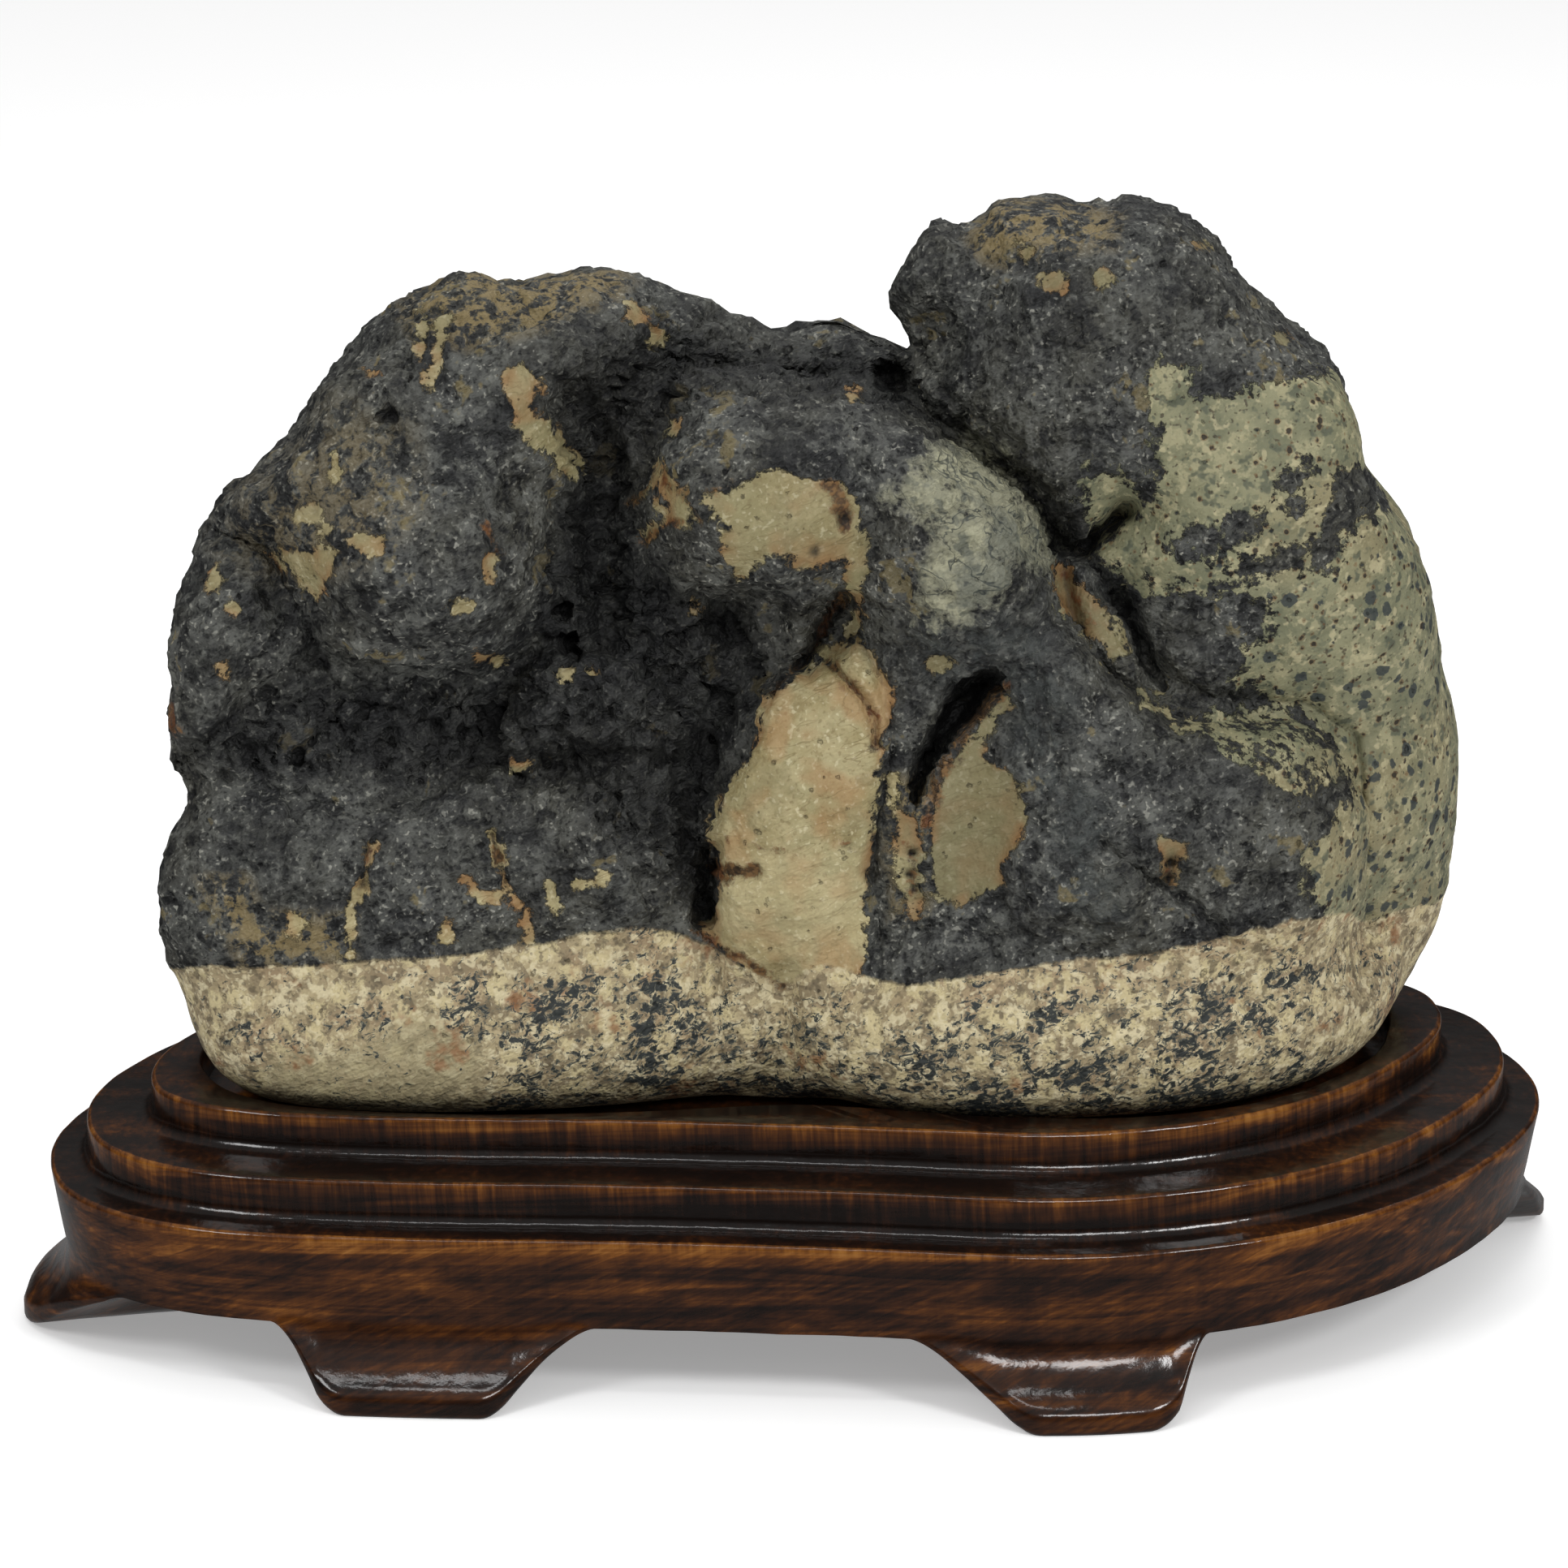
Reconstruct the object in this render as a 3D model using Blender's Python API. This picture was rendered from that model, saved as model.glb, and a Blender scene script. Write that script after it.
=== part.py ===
"""Scholars rock on its carved wooden stand.

Two pieces: the stone, one weathered lump of dark rock over a granite base, and the stand, one
stepped and footed block of lacquered wood with a shallow seat that the stone sits in.

Lengths below are in millimetres, and become metres where the meshes are made. +Z is up, the long
side lies along X, and the face that is meant to be looked at faces -Y. The origin is on the
surface that the feet stand on, under the middle of the stand.
"""

import bmesh
import bpy
import numpy as np

MM = 0.001
GAP = 0.3

# ---- driving dimensions of the stand ------------------------------------------------------------
TOP_Z = 40.4
MIDDLE_Z = 34.0
APRON_Z = 27.3
UNDERSIDE_Z = 12.0
PANEL_Z = 15.0
MIDDLE_STEP = 10.3
APRON_STEP = 16.3
TOE_FLARE = 7.2
TOE_LIP = 3.6
FOOT_DEPTH = 19.0
SEAT_DEPTH = 4.4
EASED_EDGE = 0.7
COVE_OUT = 2.0
COVE_RISE = 2.0
COVE_FLOOR = 0.4
APRON_LEAN = 2.0
PANEL_DRAFT = 1.5
SEAT_DRAFT = 0.99
PLAN_STATIONS = 84
FOOT_SIDE_STATIONS = 3
FOOT_SIDE_POWER = 1.5
SHARP_WOOD_ANGLE = 32

# How a foot's outer face sweeps out: share of the way down, and share of the whole flare. The last
# one before the sole is where the toe's upright lip starts.
FOOT_SWEEP = [(0.3, 0.12), (0.55, 0.5), (1.0 - TOE_LIP / (UNDERSIDE_Z + COVE_RISE), 1.0), (1.0, 0.96)]

# Half of the top tier's outline, from its left end along the front to its right end. The other
# half is the same line turned by 180 degrees, so one pair of corners is tight and one is broad.
HALF_PLAN = [
    (-102.5, -16.0),
    (-98.5, -25.0),
    (-86.0, -31.5),
    (-62.0, -34.5),
    (-28.0, -35.8),
    (8.0, -38.4),
    (33.0, -41.0),
    (50.0, -39.4),
    (68.0, -33.0),
    (84.0, -21.5),
    (95.5, -7.0),
    (101.5, 5.0),
]

# Outline of the seat that is carved in the top tier for the stone.
SEAT_PLAN = [
    (-95.5, -5.0),
    (-94.0, -15.0),
    (-88.0, -24.0),
    (-76.0, -29.8),
    (-52.0, -32.6),
    (-28.0, -31.6),
    (-4.0, -28.6),
    (10.0, -30.5),
    (30.0, -34.5),
    (54.0, -34.5),
    (75.0, -26.5),
    (90.5, -11.0),
    (96.8, 3.0),
    (95.0, 18.0),
    (84.0, 28.5),
    (62.0, 31.5),
    (28.0, 32.8),
    (-8.0, 33.0),
    (-40.0, 31.5),
    (-66.0, 26.5),
    (-81.5, 19.5),
    (-92.0, 8.5),
]

# The six feet: a point beside the middle of each, the width of its sole along the edge, and how
# far its two sides run out under the apron. The first side is the one that is met first on a walk
# round the stand that is counterclockwise as seen from above.
FEET = [
    ("front_left", (-60.0, -60.0), 28.0, 7.0, 13.0),
    ("front_right", (43.0, -62.0), 21.0, 14.0, 5.0),
    ("right_end", (116.0, 49.0), 24.0, 9.0, 9.0),
    ("back_right", (48.0, 60.0), 28.0, 7.0, 13.0),
    ("back_left", (-43.0, 62.0), 21.0, 14.0, 5.0),
    ("left_end", (-125.0, -1.0), 27.0, 9.0, 9.0),
]

# ---- driving dimensions of the stone ------------------------------------------------------------
STONE_SQUARES = (37, 10, 26)
START_HALF_SIZES = (106.0, 42.0, 76.0)
FRONT_FOCUS = 0.25
SEAT_Z = TOP_Z - SEAT_DEPTH
STONE_BASE_Z = SEAT_Z + GAP
FRONT_DEPTH = 20.0
BACK_DEPTH = 31.0
RIM_ROUNDING = 30.0
BASE_TAPER = 0.3
TAPER_TOP_Z = 80.0
MIDPLANE_Y = 2.0
MIDPLANE_SLOPE = 0.12
BLEND = 2.5
CLEAR_OF_STONE = 26.0
SHARP_STONE_ANGLE = 80

# How the stone's mesh is drawn onto its skin: turns in all, the turn at which the hollows start to
# sink, the turns left once they are at their depth, the turns at the end without any evening out,
# and the furthest that a point moves in a turn.
TURNS = 110
HOLLOWS_START = 20
HOLLOWS_DONE_BEFORE_END = 25
TURNS_WITHOUT_EVENING = 4
FURTHEST_MOVE = 2.5
FLATTEST_SLOPE = 0.3
SLOPE_STEP = 0.05
FOCUS_RUN = 8.0
START_SINK = 4.0
START_X = 2.0
START_SQUARENESS = 4

# Outline of the stone as seen from the front, clockwise from the lower left: x and z.
STONE_OUTLINE = [
    (-88.0, 30.0),
    (-97.0, 50.0),
    (-101.0, 66.0),
    (-98.5, 79.0),
    (-97.5, 96.0),
    (-96.5, 110.0),
    (-93.0, 122.0),
    (-85.0, 134.0),
    (-77.0, 142.0),
    (-70.0, 152.5),
    (-60.0, 160.0),
    (-52.0, 163.0),
    (-38.0, 163.0),
    (-27.0, 162.5),
    (-15.0, 158.0),
    (-6.0, 154.5),
    (6.0, 154.0),
    (14.5, 149.5),
    (18.0, 152.5),
    (16.5, 162.0),
    (20.0, 169.5),
    (32.0, 174.5),
    (43.0, 173.5),
    (54.0, 172.5),
    (63.0, 165.0),
    (70.0, 156.5),
    (81.0, 146.0),
    (86.0, 131.0),
    (95.0, 118.0),
    (101.5, 98.0),
    (104.5, 78.0),
    (102.5, 58.0),
    (97.5, 45.0),
    (87.0, 32.0),
    (60.0, 24.0),
    (-60.0, 24.0),
]

# Lumps that swell out of the stone: centre, half sizes, lean to the right in degrees, squareness.
LUMPS = [
    ("granite_left", (-44, -3, 51), (55, 28, 21), 0, 2.3),
    ("granite_right", (43, -2, 51), (52, 34, 21), 0, 2.2),
    ("granite_middle", (-3, -3, 50), (15, 22, 20), 0, 2.2),
    ("lower_slab", (-60, 0, 72), (42, 28, 20), 0, 3.0),
    ("facets", (-29, -2, 80), (14, 25, 22), 0, 3.0),
    ("left_rib", (-88, -6, 106), (9, 22, 24), 6, 2.2),
    ("brow", (-57, -3, 127), (21, 33, 20), 0, 2.5),
    ("shoulder", (-68, 0, 138), (16, 29, 25), 42, 2.3),
    ("crown", (-40, 2, 149), (24, 27, 13), 0, 2.3),
    ("nose", (-28, -6, 103), (10, 20, 7), 12, 2.0),
    ("ridge", (-6, -2, 134), (20, 31, 16), 8, 2.6),
    ("column", (-1, 0, 84), (14, 29, 30), 4, 3.2),
    ("door_post", (13, -1, 90), (6, 29, 30), -4, 3.0),
    ("fold_top", (12, -2, 142), (17, 28, 12), -20, 2.3),
    ("fold", (24, -4, 128), (16, 32, 20), -16, 2.4),
    ("fold_arm", (50, -2, 104), (12, 33, 24), -60, 2.4),
    ("skirt", (56, 4, 82), (36, 38, 26), 0, 3.0),
    ("right_lobe", (69, 8, 124), (27, 31, 40), -22, 2.5),
    ("right_flank", (81, 12, 88), (20, 27, 34), -4, 2.4),
    ("peak", (47, 6, 148), (25, 28, 27), 24, 2.4),
    ("beak", (18, 3, 161), (6, 10, 6), -30, 2.0),
    ("back_swell", (-20, 18, 96), (52, 26, 44), 0, 2.2),
    ("back_heel", (40, 20, 84), (44, 22, 36), 0, 2.2),
]

# Hollows that are cut into it, in the same terms.
HOLLOWS = [
    ("valley_top", (-32, -32, 147), (7, 18, 12), -8, 2.0),
    ("cavity", (-29, -32, 130), (8, 22, 17), -8, 2.0),
    ("cavity_floor", (-37, -32, 116), (7, 17, 9), 10, 2.0),
    ("under_brow", (-58, -38, 99), (23, 22, 9), 0, 2.0),
    ("left_recess", (-79, -34, 110), (7, 20, 14), 10, 2.0),
    ("brow_dent", (-46, -38, 147), (9, 11, 8), -40, 2.0),
    ("under_ridge", (-15, -38, 109), (10, 19, 9), -24, 2.0),
    ("gulf", (-19, -38, 93), (7, 18, 15), 10, 2.0),
    ("slot", (-17, -34, 76), (5, 14, 11), 0, 2.0),
    ("slit", (21, -40, 97), (6, 24, 14), 20, 2.0),
    ("door", (28, -42, 90), (8, 15, 18), 4, 2.0),
    ("crevice", (28, -24, 146), (24, 22, 5), 38, 2.0),
    ("window", (43, -28, 130), (9, 18, 5), -26, 2.0),
    ("corner", (50, -36, 116), (6, 17, 12), -30, 2.0),
    ("furrow", (68, -38, 104), (5, 14, 20), -64, 2.0),
    ("small_pit", (55, -38, 78), (4, 7, 7), 0, 2.0),
    ("left_notch", (-103, -6, 84), (8, 26, 4), 0, 2.0),
    ("back_hollow", (-50, 50, 120), (30, 20, 22), 20, 2.0),
    ("back_groove", (20, 48, 122), (8, 22, 34), 14, 2.0),
]


def closed_spline(points, per_span=12):
    """Smooth closed line through the points, as an array of rows."""
    knots = np.array(points, float)
    before = np.roll(knots, 1, axis=0)
    after = np.roll(knots, -1, axis=0)
    beyond = np.roll(knots, -2, axis=0)
    rows = []
    for t in np.arange(per_span) / per_span:
        rows.append(0.5 * (
            2 * knots
            + (after - before) * t
            + (2 * before - 5 * knots + 4 * after - beyond) * t ** 2
            + (3 * knots - 3 * after + beyond - before) * t ** 3
        ))
    return np.stack(rows, axis=1).reshape(-1, 2)


def arc_lengths(line):
    """Distance along a closed line to each of its points, and the whole length last."""
    steps = np.linalg.norm(np.roll(line, -1, axis=0) - line, axis=1)
    return np.concatenate([[0.0], np.cumsum(steps)])


def at_lengths(line, wanted):
    """Points of a closed line at the wanted distances along it."""
    lengths = arc_lengths(line)
    closed = np.vstack([line, line[:1]])
    wanted = np.mod(wanted, lengths[-1])
    return np.stack([np.interp(wanted, lengths, closed[:, axis]) for axis in (0, 1)], axis=1)


def outward_normals(line):
    """Unit normals of a closed line that runs counterclockwise."""
    along = np.roll(line, -1, axis=0) - np.roll(line, 1, axis=0)
    normals = np.stack([along[:, 1], -along[:, 0]], axis=1)
    return normals / np.linalg.norm(normals, axis=1, keepdims=True)


def wood_material():
    material = bpy.data.materials.new("lacquered_wood")
    material.use_nodes = True
    shader = material.node_tree.nodes["Principled BSDF"]
    shader.inputs["Base Color"].default_value = (0.065, 0.025, 0.010, 1.0)
    shader.inputs["Roughness"].default_value = 0.28
    shader.inputs["Metallic"].default_value = 0.0
    return material


def stone_material():
    material = bpy.data.materials.new("rock")
    material.use_nodes = True
    shader = material.node_tree.nodes["Principled BSDF"]
    shader.inputs["Base Color"].default_value = (0.075, 0.080, 0.082, 1.0)
    shader.inputs["Roughness"].default_value = 0.85
    shader.inputs["Metallic"].default_value = 0.0
    return material


def add_object(name, mesh_maker, material, sharp_angle):
    """Object from a bmesh in millimetres, scaled to metres and shaded smooth up to an angle."""
    bm = mesh_maker()
    bmesh.ops.scale(bm, vec=(MM, MM, MM), verts=bm.verts)
    bmesh.ops.recalc_face_normals(bm, faces=bm.faces)
    mesh = bpy.data.meshes.new(name)
    bm.to_mesh(mesh)
    bm.free()
    mesh.shade_smooth()
    mesh.set_sharp_from_angle(angle=sharp_angle)
    mesh.materials.append(material)
    bpy.context.collection.objects.link(bpy.data.objects.new(name, mesh))


# ---- stand --------------------------------------------------------------------------------------
def stand_stations(edge, lengths):
    """Distances along the plan where its stations are, and how much of a foot stands at each.

    The stations are spread evenly between the corners of the feet, so every corner is met. The
    second list is 0 between the feet, 1 on a sole and rises in a scoop on a foot's sides.
    """
    whole = lengths[-1]
    corners = []
    for _name, beside, sole, run_in, run_out in FEET:
        middle = lengths[np.argmin(np.linalg.norm(edge - np.array(beside), axis=1))]
        start = middle - sole / 2
        end = middle + sole / 2
        corners.append((start - run_in, start, end, end + run_out))
    corners.sort()
    following = [low for low, _start, _end, _high in corners[1:]]
    following.append(corners[0][0] + whole)
    marks = []
    shares = []
    for (low, start, end, high), next_low in zip(corners, following):
        for first, last, foot_first, foot_last in (
            (low, start, 0, 1),
            (start, end, 1, 1),
            (end, high, 1, 0),
            (high, next_low, 0, 0),
        ):
            count = max(2, round((last - first) / whole * PLAN_STATIONS))
            if foot_first != foot_last:
                count = FOOT_SIDE_STATIONS
            for along in np.arange(count) / count:
                marks.append(first + (last - first) * along)
                shares.append((foot_first + (foot_last - foot_first) * along) ** FOOT_SIDE_POWER)
    return np.array(marks), np.array(shares)


def stand_mesh():
    """The stand as rings that follow the plan, from the seat's floor out, down and under."""
    half = np.array(HALF_PLAN)
    plan = closed_spline(np.vstack([half, -half]))
    plan_normals = outward_normals(plan)
    lengths = arc_lengths(plan)
    marks, foot = stand_stations(plan + APRON_STEP * plan_normals, lengths)
    marks = np.mod(marks, lengths[-1])
    base = at_lengths(plan, marks)
    normals = np.stack([np.interp(marks, lengths[:-1], plan_normals[:, axis]) for axis in (0, 1)], axis=1)
    normals /= np.linalg.norm(normals, axis=1, keepdims=True)
    seat_line = closed_spline(SEAT_PLAN)
    seat = at_lengths(seat_line, marks / lengths[-1] * arc_lengths(seat_line)[-1])

    def ring(line, height):
        return np.column_stack([line, np.broadcast_to(height, len(marks))])

    # The tiers' profile, as distance out from the top tier's outline and height.
    wall = APRON_STEP - APRON_LEAN
    wall_foot_z = UNDERSIDE_Z + COVE_RISE
    tiers = [
        (-EASED_EDGE, TOP_Z),
        (0.0, TOP_Z - EASED_EDGE),
        (0.0, MIDDLE_Z + COVE_RISE),
        (COVE_OUT, MIDDLE_Z + COVE_FLOOR),
        (MIDDLE_STEP - EASED_EDGE, MIDDLE_Z),
        (MIDDLE_STEP, MIDDLE_Z - EASED_EDGE),
        (MIDDLE_STEP, APRON_Z + COVE_RISE),
        (MIDDLE_STEP + COVE_OUT, APRON_Z + COVE_FLOOR),
        (APRON_STEP - EASED_EDGE, APRON_Z),
        (APRON_STEP, APRON_Z - EASED_EDGE),
        (wall, wall_foot_z),
    ]
    foot_bottom = UNDERSIDE_Z * (1.0 - foot)
    rings = [ring(seat * SEAT_DRAFT, SEAT_Z), ring(seat, TOP_Z)]
    for out, height in tiers:
        rings.append(ring(base + out * normals, height))
    for down, flare in FOOT_SWEEP:
        out = (wall + flare * TOE_FLARE * foot)[:, None]
        rings.append(ring(base + out * normals, wall_foot_z + (foot_bottom - wall_foot_z) * down))
    inner = wall - FOOT_DEPTH
    rings.append(ring(base + inner * normals, foot_bottom))
    rings.append(ring(base + (inner - PANEL_DRAFT) * normals, PANEL_Z))

    bm = bmesh.new()
    loops = [[bm.verts.new(point) for point in ring] for ring in rings]
    for inside, outside in zip(loops, loops[1:]):
        for here in range(len(inside)):
            beyond = (here + 1) % len(inside)
            bm.faces.new((inside[here], outside[here], outside[beyond], inside[beyond]))
    bm.faces.new(loops[0])
    bm.faces.new(list(reversed(loops[-1])))
    return bm


# ---- stone --------------------------------------------------------------------------------------
def outline_depth(x, z, outline):
    """How far inside the closed outline each point is; negative outside."""
    start = outline
    end = np.roll(outline, -1, axis=0)
    points = np.stack([x, z], axis=1)[:, None, :]
    edge = end - start
    along = ((points - start) * edge).sum(2) / (edge ** 2).sum(1)
    nearest = start + np.clip(along, 0, 1)[:, :, None] * edge
    distance = np.sqrt(((points - nearest) ** 2).sum(2)).min(1)
    crosses = (start[:, 1] > z[:, None]) != (end[:, 1] > z[:, None])
    climb = np.where(edge[:, 1] == 0, 1.0, edge[:, 1])
    crossing_x = start[:, 0] + (z[:, None] - start[:, 1]) / climb * edge[:, 0]
    inside = (crosses & (x[:, None] < crossing_x)).sum(1) % 2 == 1
    return np.where(inside, distance, -distance)


def blob(points, centre, half_sizes, lean, squareness):
    """About how far outside a leaning, rounded block each point is, in millimetres."""
    angle = np.radians(lean)
    offset = points - np.array(centre, float)
    across = offset[:, 0] * np.cos(angle) - offset[:, 2] * np.sin(angle)
    upward = offset[:, 0] * np.sin(angle) + offset[:, 2] * np.cos(angle)
    deeper = offset[:, 1] - MIDPLANE_SLOPE * offset[:, 0]
    parts = np.abs(np.stack([across / half_sizes[0], deeper / half_sizes[1], upward / half_sizes[2]]))
    reach = (parts ** squareness).sum(0) ** (1.0 / squareness)
    spread = np.linalg.norm(offset, axis=1) / np.maximum(reach, 1e-6)
    return (reach - 1.0) * np.minimum(spread, 3 * min(half_sizes))


def soft_min(first, second, blend):
    share = np.clip(0.5 + 0.5 * (second - first) / blend, 0, 1)
    return second + (first - second) * share - blend * share * (1 - share)


def stone_field(points, outline, opening):
    """Less than 0 inside the stone and more than 0 outside it, in about millimetres.

    The hollows stand clear of the stone at an opening of 0, and are sunk to their depth at 1.
    """
    x, y, z = points.T
    inside = outline_depth(x, z, outline)
    rim = np.clip(1.0 - inside / RIM_ROUNDING, 0, None)
    behind = y - MIDPLANE_Y - MIDPLANE_SLOPE * x
    taper = 1.0 - BASE_TAPER * np.clip((TAPER_TOP_Z - z) / (TAPER_TOP_Z - SEAT_Z), 0, 1)
    depth = np.where(behind < 0, FRONT_DEPTH, BACK_DEPTH * taper)
    field = (np.sqrt(rim ** 2 + (behind / depth) ** 2) - 1.0) * FRONT_DEPTH
    for _name, centre, half_sizes, lean, squareness in LUMPS:
        field = soft_min(field, blob(points, centre, half_sizes, lean, squareness), BLEND)
    field = -soft_min(-field, inside, BLEND)
    for _name, (cut_x, cut_y, cut_z), half_sizes, lean, squareness in HOLLOWS:
        clear_y = cut_y + np.sign(cut_y) * (1.0 - opening) * CLEAR_OF_STONE
        centre = (cut_x, clear_y, cut_z)
        field = -soft_min(-field, blob(points, centre, half_sizes, lean, squareness), BLEND)
    return -soft_min(-field, z - STONE_BASE_Z, BLEND)


def box_of_squares(counts):
    """A box from -1 to 1 whose sides are divided into squares, with no corner doubled."""
    bm = bmesh.new()
    corners = {}

    def corner(key):
        if key not in corners:
            corners[key] = bm.verts.new([2.0 * place / count - 1.0 for place, count in zip(key, counts)])
        return corners[key]

    for axis in range(3):
        across = (axis + 1) % 3
        along = (axis + 2) % 3
        for side in (0, counts[axis]):
            for first in range(counts[across]):
                for second in range(counts[along]):
                    ring = []
                    for add_first, add_second in ((0, 0), (1, 0), (1, 1), (0, 1)):
                        key = [0, 0, 0]
                        key[axis] = side
                        key[across] = first + add_first
                        key[along] = second + add_second
                        ring.append(corner(tuple(key)))
                    bm.faces.new(ring)
    return bm


def stone_mesh():
    """A rounded box of squares that is drawn in, step by step, until it lies on the stone's skin."""
    outline = closed_spline(STONE_OUTLINE, 3)
    bm = box_of_squares(STONE_SQUARES)
    bm.verts.index_update()
    box = np.array([vert.co for vert in bm.verts])
    roundness = (np.abs(box) ** START_SQUARENESS).sum(1, keepdims=True) ** (1.0 / START_SQUARENESS)
    start_centre = (START_X, MIDPLANE_Y, STONE_BASE_Z + START_HALF_SIZES[2] - START_SINK)
    points = box / roundness * START_HALF_SIZES + start_centre

    # Each point's neighbours; one with only three has its first again, with no weight.
    links = [[edge.other_vert(vert).index for edge in vert.link_edges] for vert in bm.verts]
    near = np.array([(row + row[:1])[:4] for row in links])
    weights = np.array([[1.0, 1.0, 1.0, float(len(row) > 3)] for row in links])

    def middle_of_neighbours(weights):
        return (points[near] * weights[:, :, None]).sum(1) / weights.sum(1, keepdims=True)

    for turn in range(TURNS):
        opening = (turn - HOLLOWS_START) / (TURNS - HOLLOWS_START - HOLLOWS_DONE_BEFORE_END)
        opening = np.clip(opening, 0.0, 1.0)
        here = stone_field(points, outline, opening)
        slope = np.stack([
            (stone_field(points + SLOPE_STEP * axis, outline, opening) - here) / SLOPE_STEP
            for axis in np.eye(3)
        ], axis=1)
        steepness = np.linalg.norm(slope, axis=1, keepdims=True)
        normal = slope / np.maximum(steepness, SLOPE_STEP)
        move = here[:, None] / np.maximum(steepness, FLATTEST_SLOPE)
        move = np.clip(move, -FURTHEST_MOVE, FURTHEST_MOVE)
        forward = MIDPLANE_Y + MIDPLANE_SLOPE * points[:, 0] - points[:, 1]
        focus = 1.0 + FRONT_FOCUS * np.clip(forward / FOCUS_RUN, 0, 1)
        pull = middle_of_neighbours(weights * focus[near]) - points
        pull -= (pull * normal).sum(1, keepdims=True) * normal
        evening = 0.5 if turn < TURNS - TURNS_WITHOUT_EVENING else 0.0
        points = points - move * normal + evening * pull
    points = 0.5 * (points + middle_of_neighbours(weights))
    points[:, 2] = np.maximum(points[:, 2], STONE_BASE_Z)
    for vert, point in zip(bm.verts, points):
        vert.co = point
    return bm


for leftover in list(bpy.data.objects):
    bpy.data.objects.remove(leftover, do_unlink=True)

add_object("stand", stand_mesh, wood_material(), np.radians(SHARP_WOOD_ANGLE))
add_object("stone", stone_mesh, stone_material(), np.radians(SHARP_STONE_ANGLE))
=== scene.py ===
import math

import bmesh
import bpy
import numpy as np
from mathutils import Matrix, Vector, noise


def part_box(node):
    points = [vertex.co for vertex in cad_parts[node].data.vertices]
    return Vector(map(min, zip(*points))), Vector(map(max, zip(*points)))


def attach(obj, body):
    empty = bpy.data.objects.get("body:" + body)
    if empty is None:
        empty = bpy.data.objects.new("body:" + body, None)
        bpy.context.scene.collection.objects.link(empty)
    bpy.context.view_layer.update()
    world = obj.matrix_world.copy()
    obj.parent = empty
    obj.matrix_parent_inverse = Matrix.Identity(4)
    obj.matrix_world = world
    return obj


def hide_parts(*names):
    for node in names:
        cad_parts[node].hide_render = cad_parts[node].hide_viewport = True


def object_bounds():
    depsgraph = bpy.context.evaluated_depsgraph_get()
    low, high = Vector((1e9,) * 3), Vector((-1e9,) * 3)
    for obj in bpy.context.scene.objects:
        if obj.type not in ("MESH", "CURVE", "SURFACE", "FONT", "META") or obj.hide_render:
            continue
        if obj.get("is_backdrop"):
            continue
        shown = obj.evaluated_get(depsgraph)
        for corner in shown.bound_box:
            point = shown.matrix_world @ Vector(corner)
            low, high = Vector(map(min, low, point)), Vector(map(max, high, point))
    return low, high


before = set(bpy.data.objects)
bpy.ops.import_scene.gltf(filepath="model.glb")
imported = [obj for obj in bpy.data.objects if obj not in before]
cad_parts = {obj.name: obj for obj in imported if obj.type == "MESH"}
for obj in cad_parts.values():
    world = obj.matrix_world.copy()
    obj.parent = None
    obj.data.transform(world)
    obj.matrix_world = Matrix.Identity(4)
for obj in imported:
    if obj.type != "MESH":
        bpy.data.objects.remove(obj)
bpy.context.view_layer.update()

# ---- Table, light and camera ----------------------------------------------------------------------
# A stone on its stand is shown on a plain pale table, in soft light from large panels that lean in
# from above, so that the lacquer catches long bright lines and the hollows of the rock go dark.
MM = 0.001
EYE_TARGET = Vector((-3.5, 3.0, 82.0)) * MM
EYE_DISTANCE = 0.8
EYE_ELEVATION = math.radians(18.0)
LENS_MM = 116.6
# Each panel of light: name, place, width, height and watts.
PANELS = [
    ("panel_left", (-0.62, -0.62, 0.80), 0.30, 0.30, 2.8),
    ("panel_right", (0.64, -0.66, 0.68), 0.24, 0.24, 3.6),
    ("panel_top", (-0.10, -0.40, 1.10), 0.50, 0.10, 1.1),
    ("gloss_front", (0.24, -0.95, 0.66), 0.44, 0.22, 4.0),
    ("panel_back", (0.20, 0.70, 1.00), 0.60, 0.40, 2.5),
]


def to_linear(colour):
    """Scene-linear RGBA of an sRGB hex colour such as #8a5a2b."""
    parts = [int(colour[place:place + 2], 16) / 255.0 for place in (1, 3, 5)]
    return [part / 12.92 if part <= 0.04045 else ((part + 0.055) / 1.055) ** 2.4 for part in parts] + [1]


def new_material(name):
    material = bpy.data.materials.new(name)
    material.use_nodes = True
    return material, material.node_tree.nodes["Principled BSDF"]


def join(material, source, target):
    material.node_tree.links.new(source, target)


def add_node(material, kind, **values):
    """Adds one shader node. Each value sets a property, or an input by its name or as i and its number.

    A value for an input may be a socket, or a node, which then stands for its first output.
    """
    node = material.node_tree.nodes.new("ShaderNode" + kind)
    for key, value in values.items():
        if hasattr(node, key):
            setattr(node, key, value)
            continue
        numbered = key[0] == "i" and key[1:].isdigit()
        socket = node.inputs[int(key[1:]) if numbered else key.replace("_", " ")]
        if isinstance(value, bpy.types.Node):
            value = value.outputs[0]
        if isinstance(value, bpy.types.NodeSocket):
            join(material, value, socket)
        else:
            socket.default_value = value
    return node


scene = bpy.context.scene
scene.view_settings.view_transform = "Standard"
world = bpy.data.worlds.new("studio")
scene.world = world
world.use_nodes = True
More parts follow.
